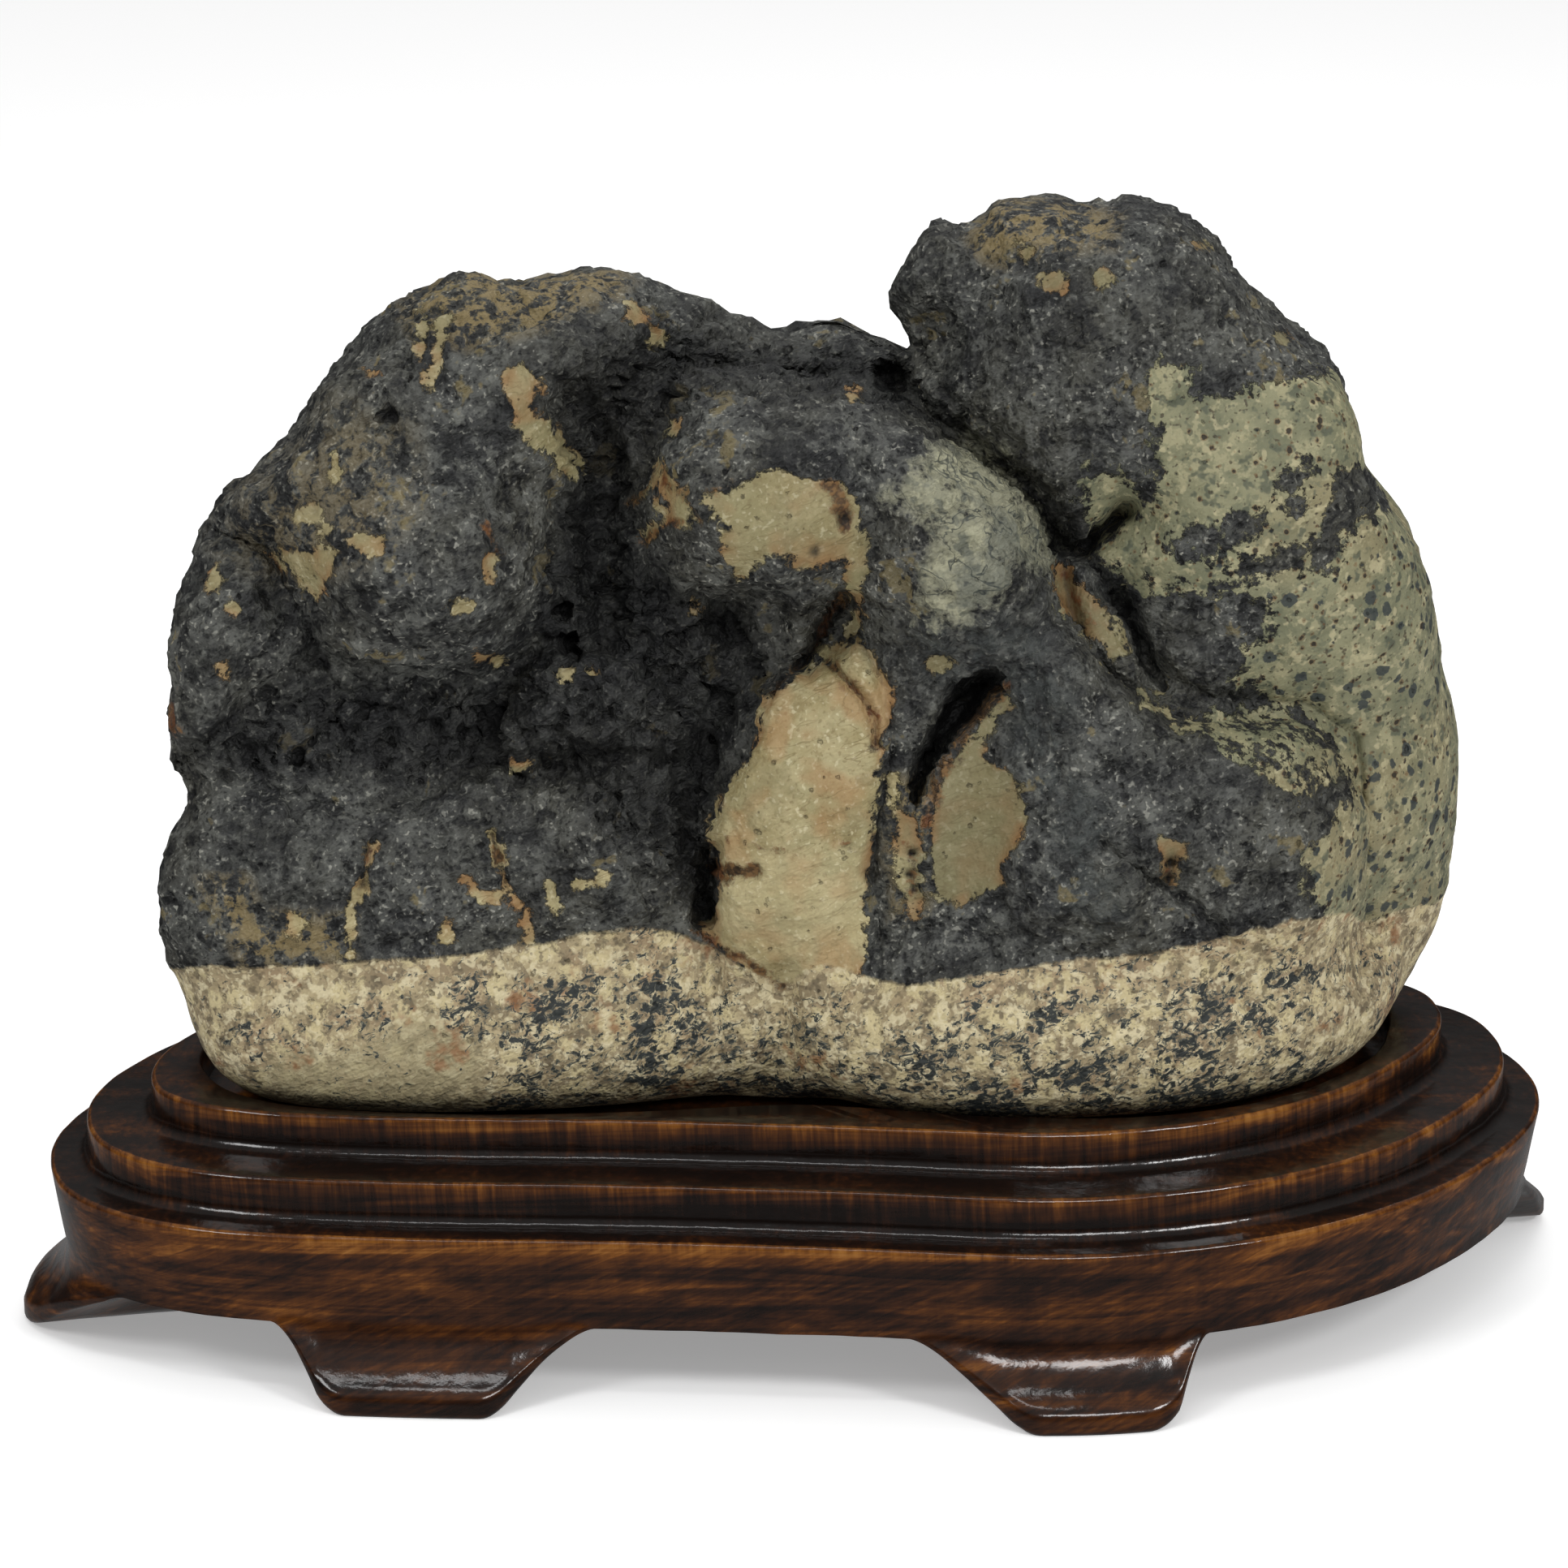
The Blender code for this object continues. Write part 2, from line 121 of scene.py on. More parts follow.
# The sky brightens overhead and the table glows from below, and both are dimmer in the lacquer.
toward = add_node(world, "TexCoord").outputs["Generated"]
sky_height = add_node(world, "SeparateXYZ", i0=toward).outputs["Z"]
sky_rise = add_node(world, "MapRange", i0=sky_height, i1=0.15, i2=0.85, i3=0.05, i4=0.86)
low_glow = add_node(world, "MapRange", i0=sky_height, i1=0.0, i2=-0.25, i4=0.55)
sky_rise = add_node(world, "Math", operation="ADD", i0=sky_rise, i1=low_glow)
mirrored = add_node(world, "LightPath").outputs["Is Glossy Ray"]
sky_dim = add_node(world, "MapRange", i0=mirrored, i3=1.0, i4=0.35)
sky_light = add_node(world, "Math", operation="MULTIPLY", i0=sky_rise, i1=sky_dim)
background = world.node_tree.nodes["Background"]
background.inputs["Color"].default_value = (1.0, 1.0, 1.0, 1.0)
join(world, sky_light.outputs[0], background.inputs["Strength"])

# The front panel only makes the lacquer shine and lights nothing else.
for name, place, width, height, power in PANELS:
    panel = bpy.data.lights.new(name, "AREA")
    panel.shape = "ELLIPSE"
    panel.size = width
    panel.size_y = height
    panel.energy = power
    lamp = bpy.data.objects.new(name, panel)
    lamp.location = place
    lamp.visible_diffuse = name != "gloss_front"
    lamp.rotation_euler = (Vector((0.0, 0.0, 0.07)) - Vector(place)).to_track_quat("-Z", "Y").to_euler()
    bpy.context.collection.objects.link(lamp)

looking = Vector((0.0, math.cos(EYE_ELEVATION), -math.sin(EYE_ELEVATION)))
eye = EYE_TARGET - EYE_DISTANCE * looking
camera = bpy.data.objects.new("camera", bpy.data.cameras.new("camera"))
bpy.context.collection.objects.link(camera)
camera.location = eye
camera.rotation_euler = looking.to_track_quat("-Z", "Y").to_euler()
camera.data.lens = LENS_MM
camera.data.sensor_width = 36.0
camera.data.clip_start = 0.01
scene.camera = camera

table_bm = bmesh.new()
bmesh.ops.create_grid(table_bm, x_segments=2, y_segments=2, size=3.0)
table_mesh = bpy.data.meshes.new("table_top")
table_bm.to_mesh(table_mesh)
table_bm.free()
table_top = bpy.data.objects.new("table_top", table_mesh)
bpy.context.collection.objects.link(table_top)
table_top.visible_glossy = False
paper, paper_shader = new_material("lit_white_sheet")
paper_shader.inputs["Base Color"].default_value = to_linear("#f4f4f4")
paper_shader.inputs["Roughness"].default_value = 0.9
paper_shader.inputs["Emission Color"].default_value = (1.0, 1.0, 1.0, 1.0)
paper_shader.inputs["Emission Strength"].default_value = 0.30
table_mesh.materials.append(paper)
table_top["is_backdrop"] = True

# ---- Stand ----------------------------------------------------------------------------------------
# Carved from one block of close-grained hardwood: a seat for the stone, two stepped tiers with coves
# between them, an apron and six flared feet, stained dark brown and then lacquered to a gloss.
STATIONS = 900
TOP_Z, MIDDLE_Z, APRON_Z, RIM_Z, PANEL_Z = 40.4, 34.0, 27.3, 12.0, 15.0
SEAT_Z = 36.0
MIDDLE_STEP, APRON_STEP, APRON_LEAN = 10.3, 16.3, 2.0
TOE_FLARE, TOE_LIP, FOOT_DEPTH = 7.2, 3.6, 19.0
EASED, COVE, SEAT_ROUND, SEAT_DRAFT = 0.8, 2.0, 0.4, 0.99
TOE_EDGE, TOE_EDGE_SHARE, SOLE_INSET, PANEL_DRAFT = 0.6, 0.93, 1.0, 1.5
TOE_ROUND, TOE_CORNER_RISE, TOE_CORNER_SHARE = 4.5, 2.2, 0.30
END_STAIN, APRON_STAIN, FLAT_STAIN = 0.15, -0.15, -0.5
END_STARTS, END_RUN = 78.0, 26.0
QUARTER_TURN = [math.radians(angle) for angle in (0, 18, 36, 54, 72, 90)]
HALF_PLAN = [
    (-102.5, -16.0), (-98.5, -25.0), (-86.0, -31.5), (-62.0, -34.5), (-28.0, -35.8), (8.0, -38.4),
    (33.0, -41.0), (50.0, -39.4), (68.0, -33.0), (84.0, -21.5), (95.5, -7.0), (101.5, 5.0),
]
SEAT_PLAN = [
    (-95.5, -5.0), (-94.0, -15.0), (-88.0, -24.0), (-76.0, -29.8), (-52.0, -32.6), (-28.0, -31.6),
    (-4.0, -28.6), (10.0, -30.0), (30.0, -33.6), (52.3, -33.4), (72.6, -25.7), (87.5, -10.6),
    (93.0, 2.9), (93.6, 17.7), (84.0, 28.5), (62.0, 31.5), (28.0, 32.8), (-8.0, 33.0),
    (-40.0, 31.5), (-66.0, 26.5), (-81.5, 19.5), (-92.0, 8.5),
]
# Each foot: a point beside its middle, the width of its sole, and how far its two sides run out.
FEET = [
    ((-60.0, -60.0), 28.0, 7.0, 13.0), ((43.0, -62.0), 21.0, 14.0, 5.0), ((116.0, 49.0), 24.0, 9.0, 9.0),
    ((48.0, 60.0), 28.0, 7.0, 13.0), ((-43.0, 62.0), 21.0, 14.0, 5.0), ((-125.0, -1.0), 27.0, 9.0, 9.0),
]


def closed_spline(points, per_span):
    """Smooth closed line through the points."""
    knots = np.array(points, float)
    before, after, beyond = (np.roll(knots, shift, axis=0) for shift in (1, -1, -2))
    rows = []
    for t in np.arange(per_span) / per_span:
        rows.append(0.5 * (
            2 * knots + (after - before) * t + (2 * before - 5 * knots + 4 * after - beyond) * t ** 2
            + (3 * knots - 3 * after + beyond - before) * t ** 3
        ))
    return np.stack(rows, axis=1).reshape(-1, 2)


def evenly_along(line, count):
    """Points at even distances along a closed line, and the line's length."""
    steps = np.linalg.norm(np.roll(line, -1, axis=0) - line, axis=1)
    lengths = np.concatenate([[0.0], np.cumsum(steps)])
    closed = np.vstack([line, line[:1]])
    wanted = np.arange(count) / count * lengths[-1]
    return np.stack([np.interp(wanted, lengths, closed[:, axis]) for axis in (0, 1)], axis=1), lengths[-1]


half = np.array(HALF_PLAN)
plan, plan_length = evenly_along(closed_spline(np.vstack([half, -half]), 60), STATIONS)
seat = evenly_along(closed_spline(SEAT_PLAN, 60), STATIONS)[0]
tangent = np.roll(plan, -1, axis=0) - np.roll(plan, 1, axis=0)
outward = np.stack([tangent[:, 1], -tangent[:, 0]], axis=1)
outward /= np.linalg.norm(outward, axis=1, keepdims=True)
along_plan = np.arange(STATIONS) / STATIONS * plan_length

foot_share = np.zeros(STATIONS)
toe_corner = np.zeros(STATIONS)
for beside, sole, run_in, run_out in FEET:
    middle = along_plan[np.argmin(np.linalg.norm(plan + APRON_STEP * outward - np.array(beside), axis=1))]
    away = (along_plan - middle + plan_length / 2) % plan_length - plan_length / 2
    rise = np.where(away < 0, (away + sole / 2 + run_in) / run_in, (sole / 2 + run_out - away) / run_out)
    foot_share = np.maximum(foot_share, np.clip(rise, 0, 1) ** 1.5)
    near_foot = np.abs(away) < sole / 2 + max(run_in, run_out)
    toe_corner += near_foot * np.clip(1.0 - (sole / 2 - np.abs(away)) / TOE_ROUND, 0, 1) ** 2
foot_bottom = RIM_Z * (1.0 - foot_share) + TOE_CORNER_RISE * toe_corner * foot_share
toe_share = foot_share * (1.0 - TOE_CORNER_SHARE * toe_corner)
end_stain = END_STAIN * np.clip((np.abs(plan[:, 0]) - END_STARTS) / END_RUN, 0, 1)

stand_bm = bmesh.new()
tone_layer = stand_bm.verts.layers.float.new("wear_and_painted_shade")
bmesh.ops.create_circle(stand_bm, cap_ends=True, segments=STATIONS, radius=1.0)
ring = sorted(stand_bm.verts, key=lambda vert: math.atan2(vert.co.y, vert.co.x) % (2 * math.pi))


def place_ring(ring, places, heights, wear_and_painted_shade=0.0):
    """Puts a ring where it belongs; wear is 1 on an edge rubbed lighter, below 0 for painted cove shade
    and stain.
    """
    heights = np.broadcast_to(heights, len(ring))
    for vert, place, height, stain in zip(ring, places, heights, end_stain):
        vert.co = (place[0] * MM, place[1] * MM, height * MM)
        vert[tone_layer] = wear_and_painted_shade - stain


def next_ring(ring):
    """Extrudes the open edge of the last ring and returns the new ring in the same order."""
    pairs = set(ring)
    edges = [edge for edge in stand_bm.edges if len(edge.link_faces) == 1 and edge.verts[0] in pairs]
    made = bmesh.ops.extrude_edge_only(stand_bm, edges=edges)
    fresh = {vert for vert in made["geom"] if isinstance(vert, bmesh.types.BMVert)}
    return [
        next(edge.other_vert(vert) for edge in vert.link_edges if edge.other_vert(vert) in fresh)
        for vert in ring
    ]


def wave(places, size, seed, octaves=3):
    """Smooth random number about 0 for each place; size is the width of its swellings in millimetres."""
    return np.array([
        noise.fractal(Vector(place) / size + Vector((seed, seed * 1.7, seed * 0.3)), 0.6, 2.0, octaves)
        for place in places
    ])


def eased_corner(out, top):
    """A convex corner with a small round, from its flat top to its wall."""
    out, top = out - EASED, top - EASED
    return [
        (out + EASED * math.sin(turn), top + EASED * math.cos(turn), 1.0 if turn else FLAT_STAIN)
        for turn in QUARTER_TURN
    ]


def cove(out, floor):
    """A hollow quarter round from a wall at this distance out to the flat below it."""
    out, floor = out + COVE, floor + COVE
    # The value -1 darkens the cove: painted shade.
    return [(out - COVE * math.cos(turn), floor - COVE * math.sin(turn), -1.0) for turn in QUARTER_TURN]


# The seat's floor, wall and rim, then the tiers: distance out from the top tier, height and wear.
place_ring(ring, seat * SEAT_DRAFT, SEAT_Z)
ring = next_ring(ring)
place_ring(ring, seat, TOP_Z - SEAT_ROUND)
ring = next_ring(ring)
place_ring(ring, seat + SEAT_ROUND * outward, TOP_Z, FLAT_STAIN)
for out, height, wear_and_painted_shade in (
    eased_corner(0.0, TOP_Z) + cove(0.0, MIDDLE_Z) + eased_corner(MIDDLE_STEP, MIDDLE_Z)
    + cove(MIDDLE_STEP, APRON_Z) + eased_corner(APRON_STEP, APRON_Z)
):
    ring = next_ring(ring)
    place_ring(ring, plan + out * outward, height, wear_and_painted_shade)

# The apron leans in slightly; below it each foot sweeps out to its toe.
WALL_FOOT_Z = RIM_Z + 2.0
for share in (0.25, 0.5, 0.75, 1.0):
    ring = next_ring(ring)
    height = APRON_Z - EASED + (WALL_FOOT_Z - APRON_Z + EASED) * share
    place_ring(ring, plan + (APRON_STEP - APRON_LEAN * share) * outward, height, -APRON_STAIN)
lip = 1.0 - TOE_LIP / WALL_FOOT_Z
for share in (0.12, 0.24, 0.36, 0.48, 0.58, 0.66, 0.72, 0.78, 0.86, 0.93, 0.97, 1.0):
    sweep = min(share / lip, 1.0) ** 2.2
    edge = max(0.0, (share - TOE_EDGE_SHARE) / (1.0 - TOE_EDGE_SHARE))
    out = APRON_STEP - APRON_LEAN + sweep * TOE_FLARE * toe_share - TOE_EDGE * edge ** 2
    height = WALL_FOOT_Z + (foot_bottom - WALL_FOOT_Z) * share
    ring = next_ring(ring)
    place_ring(ring, plan + out[:, None] * outward, height, -APRON_STAIN * (1.0 - share))
inner = APRON_STEP - APRON_LEAN - FOOT_DEPTH
outer = APRON_STEP - APRON_LEAN - SOLE_INSET + TOE_FLARE * toe_share
for share in (0.25, 0.5, 0.75, 1.0):
    ring = next_ring(ring)
    place_ring(ring, plan + (outer + (inner - outer) * share)[:, None] * outward, foot_bottom)
ring = next_ring(ring)
place_ring(ring, plan + (inner - PANEL_DRAFT) * outward, PANEL_Z)
bmesh.ops.contextual_create(stand_bm, geom=[edge for edge in stand_bm.edges if len(edge.link_faces) == 1])
bmesh.ops.recalc_face_normals(stand_bm, faces=stand_bm.faces)

# Hand-carved walls are never quite true. The soles and the top stay flat.
places = np.array([vert.co for vert in stand_bm.verts]) / MM
WOBBLE, WOBBLE_SIZE = 0.12, 14.0
wobble = WOBBLE * wave(places, WOBBLE_SIZE, 3.1)
box_low, box_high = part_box("stand")
for vert, shift in zip(stand_bm.verts, wobble):
    if 0.5 < vert.co.z / MM < TOP_Z - 0.2:
        vert.co += vert.normal * shift * MM
    vert.co = [min(max(vert.co[axis], box_low[axis]), box_high[axis]) for axis in range(3)]
stand_mesh = bpy.data.meshes.new("wooden_stand")
stand_bm.to_mesh(stand_mesh)
stand_bm.free()
stand_mesh.shade_smooth()
stand_mesh.set_sharp_from_angle(angle=math.radians(50))

# Brown stain under gloss lacquer. Four grain patterns are added up: long streaks, cloudy mottle, the
# upright fiddleback lines of the tiers, and leaning flames on the apron; the sum picks the tone.
wood, wood_shader = new_material("gloss_lacquered_stained_hardwood")
place = add_node(wood, "TexCoord").outputs["Object"]
wear_and_painted_shade = add_node(wood, "Attribute", attribute_name="wear_and_painted_shade").outputs["Fac"]
# Wear lightens rubbed edges; below 0 it is painted shade in the coves and stain on the tops and ends.
grain_sum = add_node(wood, "Math", operation="MULTIPLY_ADD", i0=wear_and_painted_shade, i1=0.14, i2=0.49)
wood_height = add_node(wood, "SeparateXYZ", i0=place).outputs["Z"]
on_tiers = add_node(wood, "MapRange", i0=wood_height, i1=0.0255, i2=0.0275, i3=0.15)
on_apron = add_node(wood, "MapRange", i0=wood_height, i1=0.0275, i2=0.0255)
for turn, stretch, detail, distortion, strength, limit in (
    ((0.0, 0.03, 0.0), (12.0, 110.0, 360.0), 5.0, 0.8, 0.78, None),
    ((0.0, 0.0, 0.0), (45.0, 60.0, 80.0), 5.0, 1.0, 0.42, None),
    ((0.0, 0.05, 0.0), (900.0, 520.0, 60.0), 3.0, 0.4, 0.50, on_tiers),
    ((0.0, 0.42, 0.0), (170.0, 220.0, 1150.0), 3.0, 0.6, 0.40, on_apron),
):
    spun = add_node(wood, "Mapping", i0=place, i2=turn)
    drawn = add_node(wood, "Mapping", i0=spun, i3=stretch)
    grain = add_node(
        wood, "TexNoise", i0=drawn, Scale=1.0, Detail=detail, Roughness=0.6, Distortion=distortion
    )
    level = add_node(wood, "Math", operation="SUBTRACT", i0=grain, i1=0.5)
    if limit:
        level = add_node(wood, "Math", operation="MULTIPLY", i0=level, i1=limit)
    grain_sum = add_node(
        wood, "Math", operation="MULTIPLY_ADD", i0=level, i1=strength, i2=grain_sum
    )
tones = add_node(wood, "ValToRGB", i0=grain_sum)
ramp = tones.color_ramp
ramp.elements[0].position = 0.30
ramp.elements[0].color = to_linear("#100805")
ramp.elements[1].position = 0.84
ramp.elements[1].color = to_linear("#8f5f28")
for ramp_place, colour in ((0.42, "#201008"), (0.52, "#361c0a"), (0.62, "#522d0e"), (0.72, "#744616")):
    ramp.elements.new(ramp_place).color = to_linear(colour)
join(wood, tones.outputs[0], wood_shader.inputs["Base Color"])
wood_shader.inputs["Roughness"].default_value = 0.36
wood_shader.inputs["IOR"].default_value = 1.5
wood_shader.inputs["Specular IOR Level"].default_value = 0.06
wood_shader.inputs["Coat Weight"].default_value = 0.75
wood_shader.inputs["Coat Roughness"].default_value = 0.13
peel = add_node(wood, "TexNoise", i0=place, Scale=420.0, Detail=5.0)
peel_bump = add_node(wood, "Bump", Height=peel, Strength=0.22, Distance=0.0004)
join(wood, peel_bump.outputs[0], wood_shader.inputs["Normal"])
join(wood, peel_bump.outputs[0], wood_shader.inputs["Coat Normal"])
stand_mesh.materials.append(wood)
wooden_stand = bpy.data.objects.new("wooden_stand", stand_mesh)
bpy.context.collection.objects.link(wooden_stand)
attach(wooden_stand, "root")
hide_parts("stand")

# ---- Stone ----------------------------------------------------------------------------------------
# One natural lump, worn by water: hard dark rock, folded and hollowed, that lies on a foot of pale
# speckled granite. Buff and grey-green patches are where softer bands of the rock come to the skin.
FACE_Y = -26.0
SIGHT = np.array(looking)
EYE_MM = np.array(eye) / MM
FINE_FACING, FINE_Y, FINE_Z = -0.30, 2.0, 64.0

stone_bm = bmesh.new()
stone_bm.from_mesh(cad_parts["stone"].data)
bmesh.ops.remove_doubles(stone_bm, verts=stone_bm.verts, dist=1e-6)
bmesh.ops.join_triangles(
    stone_bm, faces=stone_bm.faces, angle_face_threshold=math.pi, angle_shape_threshold=math.pi
)
rough_mesh = bpy.data.meshes.new("rough_stone")
stone_bm.to_mesh(rough_mesh)
stone_bm.free()
rough_stone = bpy.data.objects.new("rough_stone", rough_mesh)
bpy.context.collection.objects.link(rough_stone)
smoother = rough_stone.modifiers.new("smoother", "SUBSURF")
smoother.levels = 2
smoother.render_levels = 2
depsgraph = bpy.context.evaluated_depsgraph_get()
smooth_mesh = bpy.data.meshes.new_from_object(rough_stone.evaluated_get(depsgraph))
bpy.data.objects.remove(rough_stone)

# The face that is looked at has the finest mesh, down to just above the granite.
stone_bm = bmesh.new()
stone_bm.from_mesh(smooth_mesh)
stone_bm.normal_update()
front = [face for face in stone_bm.faces if face.normal.dot(looking) < FINE_FACING]
front = [face for face in front if face.calc_center_median().y < FINE_Y * MM]
front = [face for face in front if face.calc_center_median().z > FINE_Z * MM]
front_edges = list({edge for face in front for edge in face.edges})
bmesh.ops.subdivide_edges(stone_bm, edges=front_edges, cuts=1, use_grid_fill=True)
stone_bm.normal_update()
points = np.array([vert.co for vert in stone_bm.verts]) / MM
normals = np.array([vert.normal for vert in stone_bm.verts])


def on_face(points):
    """Where points lie on an upright sheet at FACE_Y, carried there along lines from the eye."""
    share = (FACE_Y - EYE_MM[1]) / (points[:, 1] - EYE_MM[1])
    return EYE_MM[[0, 2]] + share[:, None] * (points[:, [0, 2]] - EYE_MM[[0, 2]])


def line_distance(flat, line, closed=False):
    """Distance from flat points to a line through the given points."""
    start = np.array(line, float)
    end = np.roll(start, -1, axis=0)
    if not closed:
        start, end = start[:-1], end[:-1]
    edge = end - start
    nearest = np.full(len(flat), 1e9)
    for first, step in zip(start, edge):
        share = np.clip(((flat - first) @ step) / (step @ step), 0, 1)
        nearest = np.minimum(nearest, np.linalg.norm(flat - first - share[:, None] * step, axis=1))
    return nearest


def patch_depth(flat, outline):
    """How far inside a closed outline flat points are, negative outside."""
    start = np.array(outline, float)
    end = np.roll(start, -1, axis=0)
    inside = np.zeros(len(flat), bool)
    for (x0, z0), (x1, z1) in zip(start, end):
        if z0 != z1:
            crosses = (z0 > flat[:, 1]) != (z1 > flat[:, 1])
            inside ^= crosses & (flat[:, 0] < x0 + (flat[:, 1] - z0) / (z1 - z0) * (x1 - x0))
    distance = line_distance(flat, outline, closed=True)
    return np.where(inside, distance, -distance)


def spot(flat, centre, radius):
    """1 in the middle of a round spot, falling smoothly to 0 at its rim."""
    across, upward = (flat[:, axis] - centre[axis] for axis in (0, 1))
    return np.clip(1.0 - (across / radius) ** 2 - (upward / radius) ** 2, 0, 1) ** 1.5


flat = on_face(points)
facing = np.clip((-(normals @ SIGHT) - 0.05) / 0.3, 0, 1)

# Masses of rock that stand out from their neighbours: height, rounding of the rim, and outline.
MASSES = [
    ("brow", 9.0, 13.0, [
        (-81, 129), (-78, 123), (-75, 118), (-74, 113), (-69, 110), (-61, 110), (-52, 110), (-46, 112),
        (-42, 116), (-38, 122), (-37, 129), (-38, 136), (-33, 139), (-32, 146), (-29, 151), (-24, 156),
        (-21, 161), (-22, 167), (-29, 185), (-54, 185), (-76, 175), (-100, 150), (-100, 134),
    ]),
    ("left_rib", 6.0, 9.0, [
        (-110, 134), (-90, 132), (-82, 128), (-78, 123), (-76, 118), (-75, 114), (-80, 110), (-85, 105),
        (-89, 100), (-94, 95), (-110, 93),
    ]),
    ("slab", 5.5, 12.0, [
        (-112, 90), (-90, 93), (-79, 88), (-67, 87), (-53, 92), (-46, 94), (-41, 91), (-29, 95),
        (-19, 86), (-17.5, 71), (-13, 66), (-13, 30), (-112, 30),
    ]),
    ("nose", 7.0, 6.0, [
        (-43, 110), (-38, 112), (-32, 112), (-24, 110), (-20, 106), (-18, 100), (-17, 94), (-23, 96),
        (-29, 97), (-38, 95), (-45, 93), (-48, 96), (-47, 102), (-45, 106),
    ]),
    ("ridge", 9.0, 9.0, [
        (-20, 156), (-22, 146), (-26, 137), (-25, 130), (-23, 124), (-18, 121), (-10, 122), (-4, 120),
        (-1.5, 113), (5, 121), (10, 120), (12, 135), (10, 145), (8, 153), (-8, 157),
    ]),
    ("back_ridge", 2.0, 6.0, [
        (-24, 180), (-23, 160), (-17, 157), (5, 156), (11, 154), (15, 158), (15, 180),
    ]),
    ("column", 6.5, 3.5, [
        (-4, 110), (-8, 106), (-8, 100), (-9, 97), (-14, 90), (-16, 83), (-14, 78), (-14, 66),
        (-14, 30), (12, 30), (12, 69), (10, 77), (12, 90), (13.5, 99), (12, 108), (8, 116), (4, 112),
        (0, 109),
    ]),
    ("fold", 8.0, 12.0, [
        (-2, 157), (13, 150), (25, 143.5), (32, 137), (36.5, 130), (37, 125), (40, 118), (47, 108),
        (55, 102), (62, 101), (74, 101.5), (80, 97), (86, 87), (86, 30), (8, 30), (9, 67), (10, 87),
        (12, 97), (10, 106), (7.5, 116), (6, 125), (4, 135), (3, 145),
    ]),
    ("right_lobe", 8.0, 14.0, [
        (6, 200), (6, 168), (13, 164), (18, 160), (20, 154), (25, 149), (30, 144), (36, 137), (41, 131),
        (47, 135), (49, 133.5), (43, 127.5), (48.5, 119), (53, 110), (62, 106), (76, 105), (84, 99),
        (86, 80), (84, 30), (120, 30), (120, 200),
    ]),
    ("wedge", 5.0, 4.0, [(39, 127), (42, 127), (48, 119), (51, 110), (50, 106), (43, 113), (40, 120)]),
]
GAP_DEPTH, GRANITE_FLAT_Z, GRANITE_RIM_Z = 8.0, 44.0, 66.0
relief = np.full(len(points), -GAP_DEPTH)
for _name, high, rounding, outline in MASSES:
    run = np.clip(patch_depth(flat, outline) / rounding, 0, 1)
    relief = np.maximum(relief, high * np.sqrt(1.0 - (1.0 - run) ** 2) - GAP_DEPTH)
relief *= np.clip((flat[:, 1] - GRANITE_FLAT_Z) / (GRANITE_RIM_Z - GRANITE_FLAT_Z), 0, 1)

# Clefts and folds: line, half width and depth, each pressed in as seen from the front.
CLEFTS = [
    ("deep_cavity", [(-35, 151), (-31, 142), (-31, 130), (-31, 117)], 5.0, 6.0),
    ("crack_over_column", [(5.5, 121), (3.5, 118.5), (1.5, 114), (-1.5, 110)], 1.3, 5.0),
    ("crack_in_column", [(3.5, 110.5), (6, 108), (8.5, 105), (10, 102), (10.5, 98)], 1.1, 2.4),
    ("slot", [(-15, 81), (-15.5, 70)], 2.4, 8.0),
    ("crevice", [(12, 156), (18, 150), (24, 145.5), (30, 141), (36, 136.5), (38, 130)], 2.6, 9.0),
    ("window", [(37, 129.5), (41, 128.5), (48, 135)], 1.9, 9.0),
    ("corner", [(47, 121), (50, 115), (54, 107)], 2.4, 4.0),
    ("fine_crack", [(45, 82), (49, 79), (57, 73), (66, 66)], 1.0, 1.6),
    ("peak_flank", [(24, 172), (28, 164), (35, 156)], 5.0, 1.6),
    ("peak_crack", [(40, 177), (48, 172), (55, 168)], 0.7, 0.6),
    ("beak_hollow", [(17, 166), (21, 159)], 3.0, 1.8),
    ("dip", [(-4, 60), (-4, 49), (-7, 40)], 3.6, 2.4),
    ("brow_foot", [(-76, 113), (-69, 108.5), (-58, 107), (-48, 108), (-41, 114)], 3.4, 4.0),
    ("left_recess", [(-80, 122), (-77, 113), (-73, 105)], 3.2, 3.0),
    ("gulf", [(-12, 118), (-10, 110), (-14, 102), (-17, 92), (-18, 84)], 4.5, 5.0),
    ("nose_edge", [(-45, 104), (-42, 98), (-38, 94)], 1.6, 1.6),
    ("facet_one", [(-40, 85), (-29, 91), (-24, 92), (-17, 83)], 1.6, -1.6),
    ("facet_two", [(-36, 79), (-29, 74), (-20, 70)], 1.5, -1.5),
    ("facet_three", [(-30, 88), (-27, 80), (-24, 74)], 1.8, 1.8),
    ("left_crack", [(-66.5, 82), (-67.5, 77), (-69, 73)], 0.9, 1.0),
    ("slab_crack", [(-48, 83.5), (-47, 79.5), (-46, 75)], 0.9, 1.2),
    ("column_chip", [(-13, 76.5), (-8, 77)], 1.6, 1.6),
]

